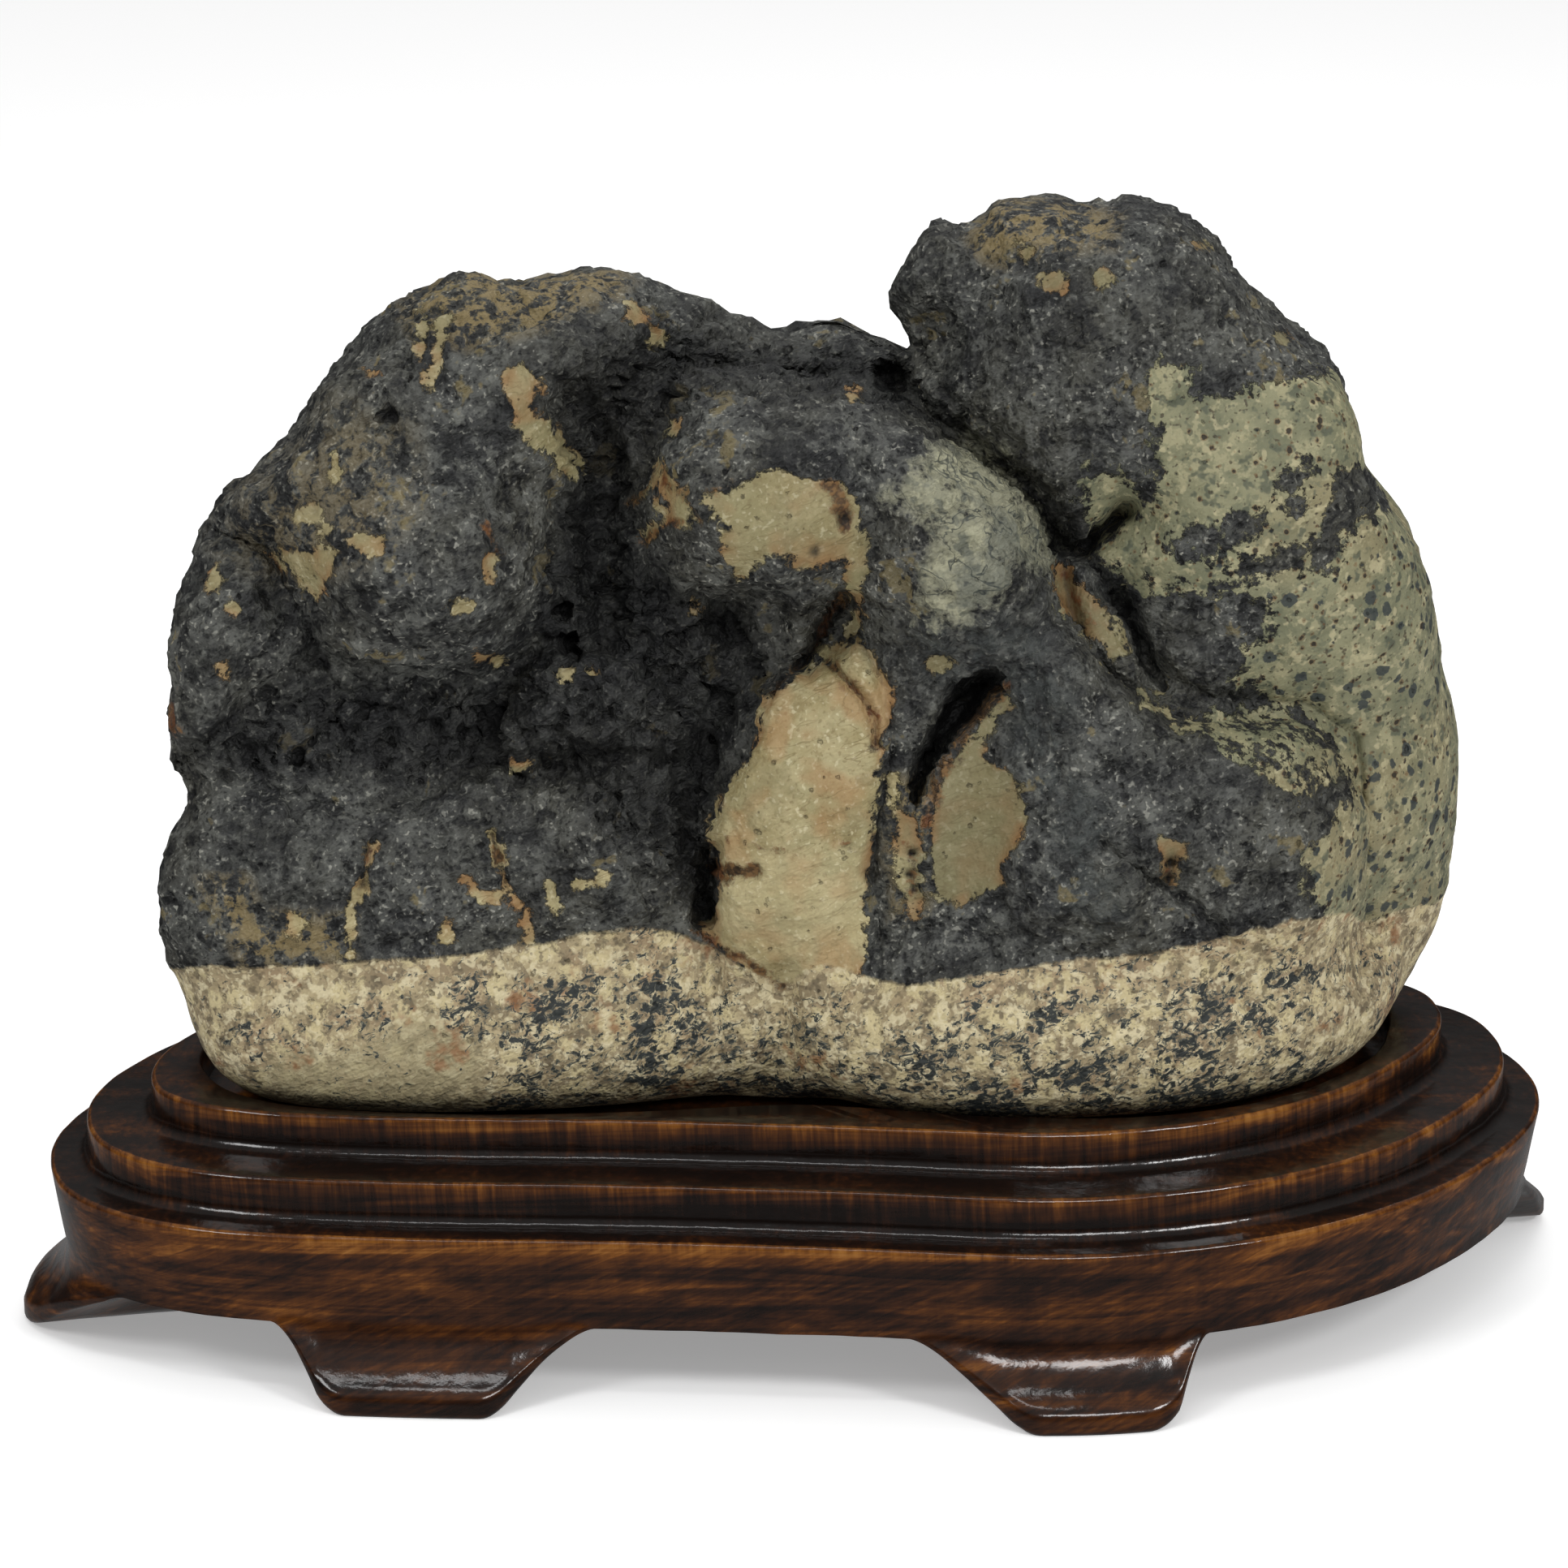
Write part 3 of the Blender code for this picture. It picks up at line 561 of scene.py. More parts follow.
# The deep dark slit, and round pits: place, radius and depth.
SLIT_DEPTH, SLIT_WALL = 14.0, 2.2
SLIT = [
    (16, 87), (15, 90.5), (16, 96), (18, 101), (20, 105), (22, 107.5), (25.5, 109.5), (28.5, 110),
    (30, 109), (29.5, 106.5), (25.5, 101.5), (22, 97.5), (19.5, 94), (18, 89.5), (17, 87),
]
PITS = [
    (-37, 120, 2.2, 5.0), (-36.5, 114, 2.3, 5.0), (-33, 126, 1.6, 3.0), (-85, 97, 1.8, 2.4),
    (-78, 95, 1.5, 1.8), (-74, 103, 1.4, 1.6), (-67, 104, 2.2, 2.6), (-60, 101, 1.9, 2.2),
    (-56, 97, 1.3, 1.5), (-52, 100, 1.6, 2.0), (-48, 101, 2.0, 2.2), (-44, 92, 1.4, 1.5),
    (-65, 96, 1.2, 1.3), (-82, 106, 1.4, 1.4), (-90, 110, 1.3, 1.2), (-62, 149, 1.8, 1.8),
    (-59, 154, 1.4, 1.2), (16, 80.5, 1.2, 1.8), (15.6, 77, 1.0, 1.6), (16.4, 74.6, 0.9, 1.2),
    (5.5, 133, 1.6, 1.6), (1, 128, 1.2, 1.0), (-6, 147, 1.3, 1.2), (70, 162, 2.0, 1.6),
    (55.4, 79, 1.5, 2.6), (55.2, 76.6, 1.2, 2.0),
]
press = np.zeros(len(points))
for _name, line, half_width, depth in CLEFTS:
    groove = depth * np.clip(1.0 - (line_distance(flat, line) / half_width) ** 2, 0, 1) ** 1.2
    press = np.where(depth > 0, np.maximum(press, groove), press + groove)
press = np.maximum(press, SLIT_DEPTH * np.clip(patch_depth(flat, SLIT) / SLIT_WALL, 0, 1) ** 0.7)
# The slit and the round pits are also painted near black: painted shade.
painted_pit_shade = np.clip(patch_depth(flat, SLIT) / 1.5, 0, 1)
for x, z, radius, depth in PITS:
    press = np.maximum(press, depth * spot(flat, (x, z), radius))
    painted_pit_shade = np.maximum(painted_pit_shade, spot(flat, (x, z), radius))
points += ((press - relief) * facing)[:, None] * SIGHT

# The skyline of the lump isn't smooth: small bumps and dents of its rim, each with its middle on the
# face, its reach, and how far the rock moves there in x and z. The largest is the notch under the
# beak. Where pushes overlap, the nearest one has nearly all the say.
MIX_POWER = 5
SKYLINE = [
    ("left_foot", -97.5, 68, 8, -1.2, 0), ("left_nick", -95, 90, 5, 1.7, 0),
    ("left_swell", -95, 98, 8, -1.4, 0), ("left_shoulder", -93.5, 115, 10, -1.3, 0.1),
    ("brow_corner", -87.5, 132, 6, -1.2, 0.7), ("brow_step", -78.5, 146, 8, 1.5, -1.1),
    ("brow_rim", -67.5, 160.5, 8, 0.9, -1.1), ("crown_bump", -51, 168.3, 6, 0, 1.4),
    ("crown_dip", -42, 169.6, 6, 0.3, -0.9), ("crown_edge", -27, 169, 7, 0.3, 1.8),
    ("crown_foot", -16, 165, 7, 0.5, 1.3), ("saddle", 3, 161.5, 5, 0, 1.6),
    ("notch_side", 8.9, 163, 4, 2.4, -2.4), ("notch", 11.2, 164, 4.5, 5.0, -7.2),
    ("notch_wall", 13.2, 165.3, 4, 1.6, -4.2), ("beak_tip", 15.1, 167.8, 5, -3.8, -1.0),
    ("beak_side", 16.2, 170.8, 5, -2.2, 0.4), ("beak_brow", 18, 174, 5.5, -0.7, 2.3),
    ("beak_dip", 23.5, 178, 5, -0.2, -1.2), ("peak_bump", 33, 181, 7, -0.3, 0.6),
    ("peak_dip", 40, 181.5, 6, 0, -1.3), ("peak_edge", 51.5, 180, 6, 0.8, 0.2),
    ("right_slope", 57, 176.4, 6, 0.9, -0.3), ("right_bend", 62, 171, 5, 0.2, -0.3),
    ("right_step", 77.5, 152.5, 10, 1.1, 0.5), ("right_swell", 88, 132, 10, 0.8, 0.6),
    ("right_side", 97.6, 92, 12, 1.1, 0.1), ("right_foot", 95.8, 71, 6, 1.0, -0.2),
]
now = on_face(points)
moved = np.zeros((len(points), 2))
claims = np.full(len(points), 1e-9)
strongest = np.zeros(len(points))
for _name, x, z, reach, right, up in SKYLINE:
    weight = spot(now, (x, z), 1.5 * reach)
    moved += weight[:, None] ** MIX_POWER * (right, up)
    claims += weight ** MIX_POWER
    strongest = np.maximum(strongest, weight)
moved *= (strongest / claims)[:, None]
points[:, 0] += moved[:, 0]
points[:, 2] += moved[:, 1]
for vert, point in zip(stone_bm.verts, points * MM):
    vert.co = point
stone_bm.normal_update()
normals = np.array([vert.normal for vert in stone_bm.verts])

# Where each kind of rock lies: outlines on the face, in millimetres.
GRANITE_TOP = [
    (-101, 62), (-97.5, 62), (-82, 62), (-62, 63), (-52, 64), (-39.5, 66), (-33, 67.5), (-24.5, 68),
    (-20, 67.5), (-14.5, 65), (-9, 61.5), (-4, 59), (-1, 60.5), (2.5, 62.5), (8.5, 60.5), (14, 59),
    (19.5, 59.5), (35, 62), (55, 64.5), (69, 68), (87.5, 72), (97.5, 74.5), (106, 76),
]
COLUMN = [
    (-3, 108), (-6.5, 105.5), (-7.5, 101), (-8.5, 96), (-11, 92.5), (-13.5, 88), (-15, 83.5),
    (-14, 79.5), (-12.5, 74.5), (-13.5, 70.5), (-17, 67.5), (-12.5, 64.5), (-7, 58), (2, 56), (6, 58),
    (8.5, 60.5), (9, 74.5), (10, 83), (10.5, 89), (10.5, 93), (11.5, 98), (13, 101.5), (13, 107),
    (10.5, 111), (8.5, 114), (7, 114.5), (5.5, 112), (3.5, 110.5), (1, 111),
]
DOOR = [
    (30.5, 106.5), (30, 103), (27.5, 99.5), (27, 96.5), (30, 93.5), (33, 90.5), (33.5, 86), (31.5, 81),
    (30, 79), (30.5, 75.5), (26.5, 73.5), (21.5, 72), (19, 74), (18.5, 85), (20.5, 93.5), (26, 101.5),
]
UPPER_BUFF = [
    (-15.5, 136.5), (-11.5, 138), (-9, 139.5), (-4.5, 141.5), (-2.5, 140.5), (-0.5, 139.5), (2, 138),
    (5, 138.5), (7, 136), (8, 132.5), (9.5, 125.5), (8, 120.5), (6, 121), (5.5, 125.5), (3, 126.5),
    (0, 125.5), (-2.5, 126.5), (-5.5, 128), (-7.5, 125.5), (-10.5, 123.5), (-11.5, 126.5), (-13, 129.5),
    (-11.5, 131.5), (-14, 133.5),
]
STRIP = [
    (-44.5, 155), (-42, 156), (-39.5, 154.5), (-40.5, 151), (-39.5, 148.5), (-36.5, 146), (-34, 144),
    (-33.5, 142), (-35, 139.5), (-37.5, 141), (-39.5, 143.5), (-42.5, 146), (-45, 151),
]
TRIANGLE = [
    (-81.5, 128), (-69.5, 128.5), (-70, 126.5), (-73.5, 120), (-75.5, 122), (-76.5, 124.5), (-80, 126),
]
RIDGE_MARK = [
    (-26, 136), (-22, 142.5), (-20, 140), (-15.5, 132.5), (-17, 131.5), (-20, 132.5), (-24, 129.5),
    (-25, 131), (-21, 133.5), (-22, 138),
]
BUFF_PATCHES = [
    COLUMN, DOOR, UPPER_BUFF, STRIP, TRIANGLE, RIDGE_MARK,
    [(-68.5, 130), (-63, 130.5), (-62.5, 128), (-65, 127), (-68.5, 128.5)],
    [(-21, 148.5), (-19, 149), (-19.5, 145.5), (-21, 145)],
    [
        (37.5, 126.5), (39.5, 126), (43.5, 120.5), (46.5, 116), (48.5, 112), (46.5, 111), (42, 116),
        (39, 119), (37, 123),
    ],
    [(13.5, 87.5), (16.5, 86), (18, 80), (17.5, 72.5), (14.5, 73.5), (13, 81)],
    [(53.5, 82.5), (57.5, 82), (56.5, 75.5), (54, 76)],
]
BUFF_LINES = [
    ([(-66.5, 82), (-67.5, 77), (-69, 73), (-70.5, 68.5), (-70.5, 64)], 0.8),
    ([(-48, 83.5), (-47, 79.5), (-46, 75), (-43, 70.5), (-42.5, 66)], 0.9),
    ([(-39.5, 75), (-38.5, 70)], 0.7), ([(-52, 76), (-50, 73), (-46.5, 74)], 0.8),
    ([(-35.5, 75.5), (-32.5, 75.5), (-31, 76.5)], 0.9), ([(-56.5, 163), (-57, 157)], 0.8),
    ([(-53.5, 162.5), (-54.5, 158), (-55.5, 153.5)], 1.1), ([(-70.5, 143), (-70, 139.5)], 0.8),
    ([(-47.5, 127), (-47.5, 124)], 0.9), ([(-50, 112), (-47, 111.5)], 0.7),
    ([(-9.5, 134), (-15, 133)], 0.5), ([(7.5, 118), (4, 111), (2, 113)], 1.0),
    ([(12.5, 92), (13, 89)], 1.2), ([(16, 73), (16.5, 70)], 1.1),
]
BUFF_SPOTS = [
    (-74.5, 133.5, 1.6), (-71.5, 131, 1.0), (-52.5, 120, 1.6), (-36.5, 109, 1.1), (-32.5, 109, 0.9),
    (-88.5, 123.5, 1.7), (-85.5, 119, 0.9), (-25.5, 163.5, 1.5), (-22, 160.5, 1.0), (-44.5, 94, 0.6),
    (-42.5, 94.5, 0.6), (-65, 155.5, 1.0), (-87.5, 109.5, 1.2), (36.5, 168.5, 1.9), (43.5, 169.5, 1.5),
    (58, 175, 1.6), (70, 160.5, 1.3), (12.5, 166.5, 1.6), (19.5, 110.5, 1.9), (-17, 119.5, 0.8),
    (7, 152.5, 1.1), (32, 172.5, 1.4), (-78.5, 69, 1.6), (-55.5, 67.5, 1.8),
]
SAGE_PATCHES = [
    [
        (50.5, 152.5), (52, 156), (54, 157), (56.5, 156), (56, 153.5), (53.5, 150.5), (58.5, 151.5),
        (63.5, 152.5), (70, 154), (80, 154.5), (92, 143), (98, 127.5), (108, 95.5), (108, 76.5),
        (100, 68), (80, 68), (76, 75), (75, 80.5), (80.5, 84), (82.5, 90.5), (79.5, 97.5), (75, 103),
        (69.5, 105.5), (65, 108.5), (66, 113), (69.5, 116), (67.5, 120), (64.5, 121.5), (60, 122.5),
        (52, 121.5), (48, 123.5), (43.5, 128), (47.5, 133), (52, 137), (52, 143), (51, 148),
    ],
    [(40.5, 134.5), (42.5, 141), (46.5, 140.5), (50.5, 137.5), (50, 134), (45.5, 134), (42.5, 133)],
]
FOLD_PATCH = [
    (13, 136), (16, 139.5), (20.5, 144), (24.5, 146), (29, 143), (32, 138.5), (36.5, 131.5),
    (36, 125.5), (33, 126.5), (30, 127.5), (29.5, 122.5), (24.5, 118.5), (20, 117), (17, 118.5),
    (16.5, 122.5), (19, 128.5), (17, 133.5),
]
RUST_LINES = [
    ([(-14, 77.5), (-8.5, 77.5)], 1.5),
    ([(5.5, 121), (3.5, 118.5), (1.5, 114), (-1.5, 110), (-5.5, 106.5)], 0.7),
    ([(3.5, 110.5), (6, 108), (8.5, 105), (10, 102), (10.5, 98)], 0.9),
    ([(3.5, 138), (5, 135.5), (5.5, 131.5)], 1.3), ([(-26, 136), (-21.5, 141), (-21, 138.5)], 0.5),
    ([(-21, 138.5), (-18, 136), (-15.5, 132.5)], 0.5),
    ([(-24.5, 129.5), (-20.5, 132.5), (-16.5, 133)], 0.5),
    ([(-17, 67.5), (-12.5, 64.5), (-7.5, 61.5), (-3.5, 59)], 0.5), ([(6, 82), (7, 81)], 0.8),
    ([(-2.5, 80), (-6.5, 81), (-12, 82.5)], 0.3), ([(30, 107), (24.5, 100), (20.5, 93), (18, 85)], 1.0),
    ([(15, 82), (16.5, 78), (16, 74)], 1.0), ([(-67, 82), (-68, 75)], 0.4),
    ([(-48, 83), (-46.5, 77)], 0.5), ([(-14, 137), (-10.5, 138.5)], 0.5),
    ([(-48, 131.5), (-46.5, 128)], 0.4), ([(-96, 107), (-94.5, 100)], 0.7),
    ([(39, 125), (40.5, 121), (43, 117)], 0.5), ([(55, 79), (55.5, 76)], 1.0),
    ([(-14, 78.5), (-12, 76)], 0.8),
]
SLATE_BAND = [(21, 113), (30.5, 113), (36, 107), (35.5, 100), (37.5, 93), (41, 87), (43, 80), (44, 72)]
DARK_BLOTCHES = [
    [
        (54.5, 129), (55.5, 131.5), (63.5, 133), (68, 133.5), (68, 132), (60.5, 128.5), (59, 127),
        (55, 127.5),
    ],
    [(70.5, 140), (72.5, 141), (75, 140), (74, 137), (72.5, 133.5), (70.5, 135.5)],
    [
        (77, 138.5), (80, 140.5), (84, 140), (86, 133.5), (82, 132), (79, 130.5), (77.5, 125),
        (74.5, 125.5), (76.5, 133),
    ],
    [(64.5, 125.5), (71.5, 129), (75, 128.5), (74.5, 127), (67, 124), (65.5, 121.5), (64.5, 123.5)],
]
ARM_MOTTLE = [
    (36.5, 125.5), (41.5, 113.5), (49.5, 107), (60.5, 103), (72, 104), (79, 99.5), (80.5, 91.5), (75, 89),
    (68.5, 92.5), (60.5, 98), (51, 103), (44.5, 111), (38, 119),
]
SPOTTED = [(60, 128), (80, 126), (90, 130), (112, 124), (112, 60), (76, 60), (70, 88), (84, 96), (62, 107)]
PEAK_WASH = [
    (24, 177.5), (28, 185), (38.5, 184), (45, 178.5), (44.5, 174.5), (40.5, 175), (37.5, 173.5),
    (28, 171.5), (25, 173.5),
]
CROWN_WASH = [
    (-60, 165), (-51, 175), (-38, 175), (-24, 172), (-28, 166), (-35, 164), (-41, 161), (-51, 159.5),
    (-57, 160),
]
BROW_WASH = [(-86, 128), (-82, 138), (-70, 150), (-60, 146), (-59, 134), (-66, 127), (-78, 124)]
POROUS_WASH = [(13.5, 92), (18.5, 92), (19, 82), (18, 70), (14, 70), (13, 80)]
BASE_WASH = [(-92, 76), (-86, 76), (-84, 70), (-79, 70), (-70.5, 69.5), (-70, 63), (-86, 62), (-89, 69)]
PALE_GRANITE = [
    (-85, 45), (-80, 49), (-73.5, 47), (-65, 52.5), (-57, 53.5), (-50, 48.5), (-49.5, 45), (-52, 41.5),
    (-65.5, 38), (-80, 38),
]
# Painted light: the foot of the column, which faces down, is painted lighter.
PAINTED_LIGHT_COLUMN_FOOT = [(-18, 79), (14, 79), (14, 66), (-4, 64), (-18, 68)]
# The hollows of the dark rock: eaten out and pitted, and painted near black there as painted shade.
HOLLOW_ROCK = [
    (-36, 156), (-22, 163), (14, 158), (16, 150), (6, 153), (-14, 152), (-24, 146), (-27, 132),
    (-20, 122), (-8, 120), (-4, 110), (-14, 90), (-16, 70), (-22, 78), (-34, 84), (-38, 92), (-60, 92),
    (-88, 92), (-92, 100), (-76, 106), (-60, 106), (-46, 106), (-40, 114), (-40, 126), (-36, 140),
]


def fade(depth, width):
    """0 outside an outline and 1 inside it, changing over twice the width at its edge."""
    return np.clip(0.5 + depth / (2.0 * width), 0.0, 1.0)


# How deep each point of the skin lies in each band, in millimetres, held between -FAR and FAR.
FAR = 9.0
GRANITE_BACK_Z, SAGE_BACK_X, SAGE_BACK_Z = 59.0, 62.0, 128.0
BACK_Y, BACK_RUN = 4.0, 14.0
top_line = np.array(GRANITE_TOP)
granite_front = np.interp(flat[:, 0], top_line[:, 0], top_line[:, 1]) - flat[:, 1]
granite_back = GRANITE_BACK_Z + 0.03 * points[:, 0] - points[:, 2] + 5.0 * wave(points, 26.0, 6.4)
backness = np.clip((points[:, 1] + 20.0) / 30.0, 0, 1)
granite = (1 - backness) * granite_front + backness * granite_back

buff = np.full(len(points), -FAR)
for outline in BUFF_PATCHES:
    buff = np.maximum(buff, patch_depth(flat, outline))
for line, half_width in BUFF_LINES:
    buff = np.maximum(buff, half_width - line_distance(flat, line))
for x, z, radius in BUFF_SPOTS:
    buff = np.maximum(buff, radius - np.hypot(flat[:, 0] - x, flat[:, 1] - z))
sage = np.full(len(points), -FAR)
for outline in SAGE_PATCHES:
    sage = np.maximum(sage, patch_depth(flat, outline))
sage = np.maximum(sage, np.minimum(patch_depth(flat, ARM_MOTTLE), 1.2) - 0.8)
for outline in DARK_BLOTCHES:
    sage = np.minimum(sage, -patch_depth(flat, outline))
fold_green = patch_depth(flat, FOLD_PATCH)
rust = np.full(len(points), -FAR)
for line, half_width in RUST_LINES:
    rust = np.maximum(rust, 0.7 * half_width - line_distance(flat, line))
slate = 4.5 - line_distance(flat, SLATE_BAND)
hollow = fade(patch_depth(flat, HOLLOW_ROCK), 3.0)

# On the side that is turned away the same bands come round the edge and break up.
behind = np.clip((points[:, 1] - BACK_Y) / BACK_RUN, 0, 1)
round_edge = points[:, 0] - SAGE_BACK_X - 9.0 * wave(points, 26.0, 5.3)
sage_behind = np.minimum(round_edge, SAGE_BACK_Z - points[:, 2] + 7.0 * wave(points, 22.0, 8.1))
sage = (1 - behind) * sage + behind * np.clip(sage_behind, -FAR, FAR)
buff = np.where(facing > 0, buff, -FAR) * (1 - behind) + behind * (9.0 * wave(points, 30.0, 2.2) - 5.0)
fold_green = np.where(facing > 0, fold_green, -FAR) * (1 - behind) - FAR * behind
wash = np.maximum.reduce([
    fade(patch_depth(flat, outline), 2.0) for outline in (PEAK_WASH, CROWN_WASH, BASE_WASH, POROUS_WASH)
])
wash = np.maximum(wash, 0.45 * fade(patch_depth(flat, BROW_WASH), 4.0)) * (1 - behind)
hollow = hollow * facing * (1 - behind)
pale_and_painted_light = fade(patch_depth(flat, PALE_GRANITE), 2.0)
# The pale granite and the painted light on the column's foot share one mask.
pale_and_painted_light = np.maximum(pale_and_painted_light, fade(patch_depth(flat, PAINTED_LIGHT_COLUMN_FOOT), 4.0))

# Mica is thin near the granite's upper edge, at both its ends and where the granite is pale.
mica = np.clip((granite - 3.0) / 5.0, 0, 1) * (0.5 + 0.5 * np.clip((points[:, 0] + 62) / 18, 0, 1))
mica *= 1 - pale_and_painted_light
mica *= 1 - 0.5 * np.clip((points[:, 0] - 78) / 8, 0, 1)
spotted = fade(patch_depth(flat, SPOTTED), 5.0) * (1 - behind) + 0.6 * behind
# Right of the column the buff is painted a darker olive: partly its greener tone and partly painted shade,
# as that side gets less light; above 116 mm it gets half of it.
olive_and_painted_shade = np.clip((flat[:, 0] - 13.0) / 4.0, 0, 1)
olive_and_painted_shade = np.maximum(olive_and_painted_shade, 0.5 * np.clip((flat[:, 1] - 116.0) / 4.0, 0, 1)) * (1 - behind)
painted_pit_shade *= facing * (1 - behind)
rust = np.where(facing > 0, rust, -FAR) * (1 - behind) - FAR * behind
slate = fade(slate, 3.0) * (1 - behind)

# The skin: the dark rock stands a little proud of the granite, is lumpy, and is eaten out in its
# hollows; the granite and the buff bands are worn smoother. Near the seat nothing moves.
PROUD, CREASE_DEPTH, EATEN_DEPTH, HOLE_DEPTH, BUFF_DEPTH = 0.35, 0.8, 2.4, 1.8, 0.25
CREASE_WIDTH, EATEN_WIDTH = 0.10, 0.22
HOLE_SPACING, HOLE_RADIUS = 5.0, 0.40
rock_share = fade(-granite, 0.8)
buff_share = fade(np.maximum(buff, sage), 1.0)
lumpy = wave(points, 9.0, 1.0, 4)
fine = wave(points, 3.2, 4.0, 3)
eaten = np.abs(wave(points, 6.5, 7.0, 3))
crease = np.abs(wave(points, 15.0, 11.0, 4))
to_hole = np.array([noise.voronoi(Vector(point) / HOLE_SPACING)[0][0] for point in points])
hole = np.clip(HOLE_RADIUS - to_hole, 0, 1) / HOLE_RADIUS
rough_share = rock_share * (1 - 0.8 * buff_share)
height = PROUD * rock_share
height += lumpy * (0.15 + 0.85 * rough_share)
height += fine * (0.12 + 0.45 * rough_share)
height -= CREASE_DEPTH * rough_share * np.clip(CREASE_WIDTH - crease, 0, 1) / CREASE_WIDTH
height -= EATEN_DEPTH * hollow * rock_share * np.clip(EATEN_WIDTH - eaten, 0, 1) / EATEN_WIDTH
height -= HOLE_DEPTH * (hollow + 0.12) * rough_share * hole
height -= BUFF_DEPTH * fade(buff, 0.5) * rock_share
points += (height * np.clip((points[:, 2] - 37.5) / 3.0, 0, 1))[:, None] * normals
box_low, box_high = (np.array(corner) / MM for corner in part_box("stone"))
points = np.clip(points, box_low, box_high)

for vert, point in zip(stone_bm.verts, points * MM):
    vert.co = point
stone_mesh = bpy.data.meshes.new("scholars_stone")
stone_bm.to_mesh(stone_mesh)
stone_bm.free()
stone_mesh.shade_smooth()
BANDS = {
    "granite": granite, "buff": buff, "sage": sage, "fold_green": fold_green, "wash": wash,
    "hollow": hollow, "pale_and_painted_light": pale_and_painted_light, "mica": mica, "spotted": spotted, "olive_and_painted_shade": olive_and_painted_shade,
    "painted_pit_shade": painted_pit_shade, "rust": rust, "slate": slate,
}
for name, values in BANDS.items():
    layer = stone_mesh.attributes.new(name, "FLOAT", "POINT")
    layer.data.foreach_set("value", np.clip(values, -FAR, FAR).astype(np.float32))

# Weathered dark rock over granite: matt and gritty, with crisp broken edges between its bands.
rock, rock_shader = new_material("weathered_rock_on_granite")
place = add_node(rock, "TexCoord").outputs["Object"]
band = {
    name: add_node(rock, "Attribute", attribute_name=name).outputs["Fac"]
    for name in BANDS
}

# Noises: swelling in millimetres, detail, roughness and distortion, and for those that lie in
# streaks the turn and the stretch.
noises = {}
for name, size_mm, detail, roughness, distortion, turn, stretch in (
    ("broad", 24.0, 2.0, 0.60, 0.0, None, None),
    ("stain", 11.0, 4.0, 0.70, 0.0, None, None),
    ("blush", 9.0, 2.0, 0.60, 0.0, None, None),
    ("middle", 7.0, 3.0, 0.65, 0.0, None, None),
    ("patchy", 5.0, 4.0, 0.75, 0.0, None, None),
    ("ragged", 3.6, 4.0, 0.72, 0.0, None, None),
    ("gritty", 2.4, 2.0, 0.65, 0.0, None, None),
    ("grit", 0.9, 1.0, 0.60, 0.0, None, None),
    ("fibre", 2.6, 3.0, 0.70, 0.5, 0.5, (0.45, 1.0, 1.9)),
    ("flakes", 1.5, 3.0, 0.75, 0.8, 0.4, (0.8, 0.9, 1.2)),
    ("scratch", 4.0, 2.0, 0.60, 0.0, 0.35, (0.3, 0.3, 1.3)),
    ("vein", 9.0, 3.0, 0.65, 0.6, -0.7, (1.0, 1.0, 1.6)),
):
    drawn = place
    if stretch:
        spun = add_node(rock, "Mapping", i0=place, i2=(0.0, turn, 0.0))
        drawn = add_node(rock, "Mapping", i0=spun, i3=stretch)
    noises[name] = add_node(
        rock, "TexNoise", i0=drawn, Scale=1000.0 / size_mm, Detail=detail, Roughness=roughness,
        Distortion=distortion,
    )

# Where each band ends, its edge is broken up by the ragged noise: how far and how softly.
level = add_node(rock, "Math", operation="SUBTRACT", i0=noises["ragged"], i1=0.5)
share = {}
for name, break_up, soft in (
    ("granite", 2.5, 0.3), ("buff", 7.0, 0.25), ("sage", 14.0, 0.4), ("fold_green", 14.0, 1.8),
    ("rust", 6.0, 0.4),
):
    edge = add_node(rock, "Math", operation="MULTIPLY_ADD", i0=level, i1=break_up, i2=band[name])
    share[name] = add_node(rock, "MapRange", i0=edge, i1=-soft, i2=soft)

# Round spots lie in two sizes of grain, in millimetres; each grain has its own luck.
grains = {
    size_mm: add_node(rock, "TexVoronoi", i0=place, Scale=1000.0 / size_mm, Randomness=1.0)
    for size_mm in (1.6, 2.6)
}
luck = {
    size_mm: add_node(rock, "SeparateColor", i0=cells.outputs["Color"])
    for size_mm, cells in grains.items()
}
noises["grain"] = luck[1.6]

# A kind of spot: its grains, its least and greatest size within its grain, and what swells it.
for name, size_mm, least, most, swell in (
    ("big_spots", 2.6, -0.08, 0.50, band["spotted"]), ("pin_holes", 1.6, 0.04, 0.28, share["sage"]),
    ("pores", 2.6, 0.05, 0.45, band["hollow"]),
):
    size = add_node(rock, "MapRange", i0=luck[size_mm], i1=0.25, i3=least, i4=most)
    size = add_node(rock, "Math", operation="MULTIPLY", i0=size, i1=swell)
    size = add_node(rock, "Math", operation="MINIMUM", i0=size, i1=most)
    away = grains[size_mm].outputs["Distance"]
    away = add_node(rock, "Math", operation="MULTIPLY_ADD", i0=level, i1=1.2, i2=away)
    noises[name] = add_node(rock, "Math", operation="SUBTRACT", i0=size, i1=away)
feldspar = add_node(rock, "TexVoronoi", i0=place, Scale=230.0, Randomness=1.0)
noises["feldspar"] = add_node(
    rock, "Math", operation="MULTIPLY_ADD", i0=level, i1=1.8, i2=feldspar.outputs["Distance"]
)

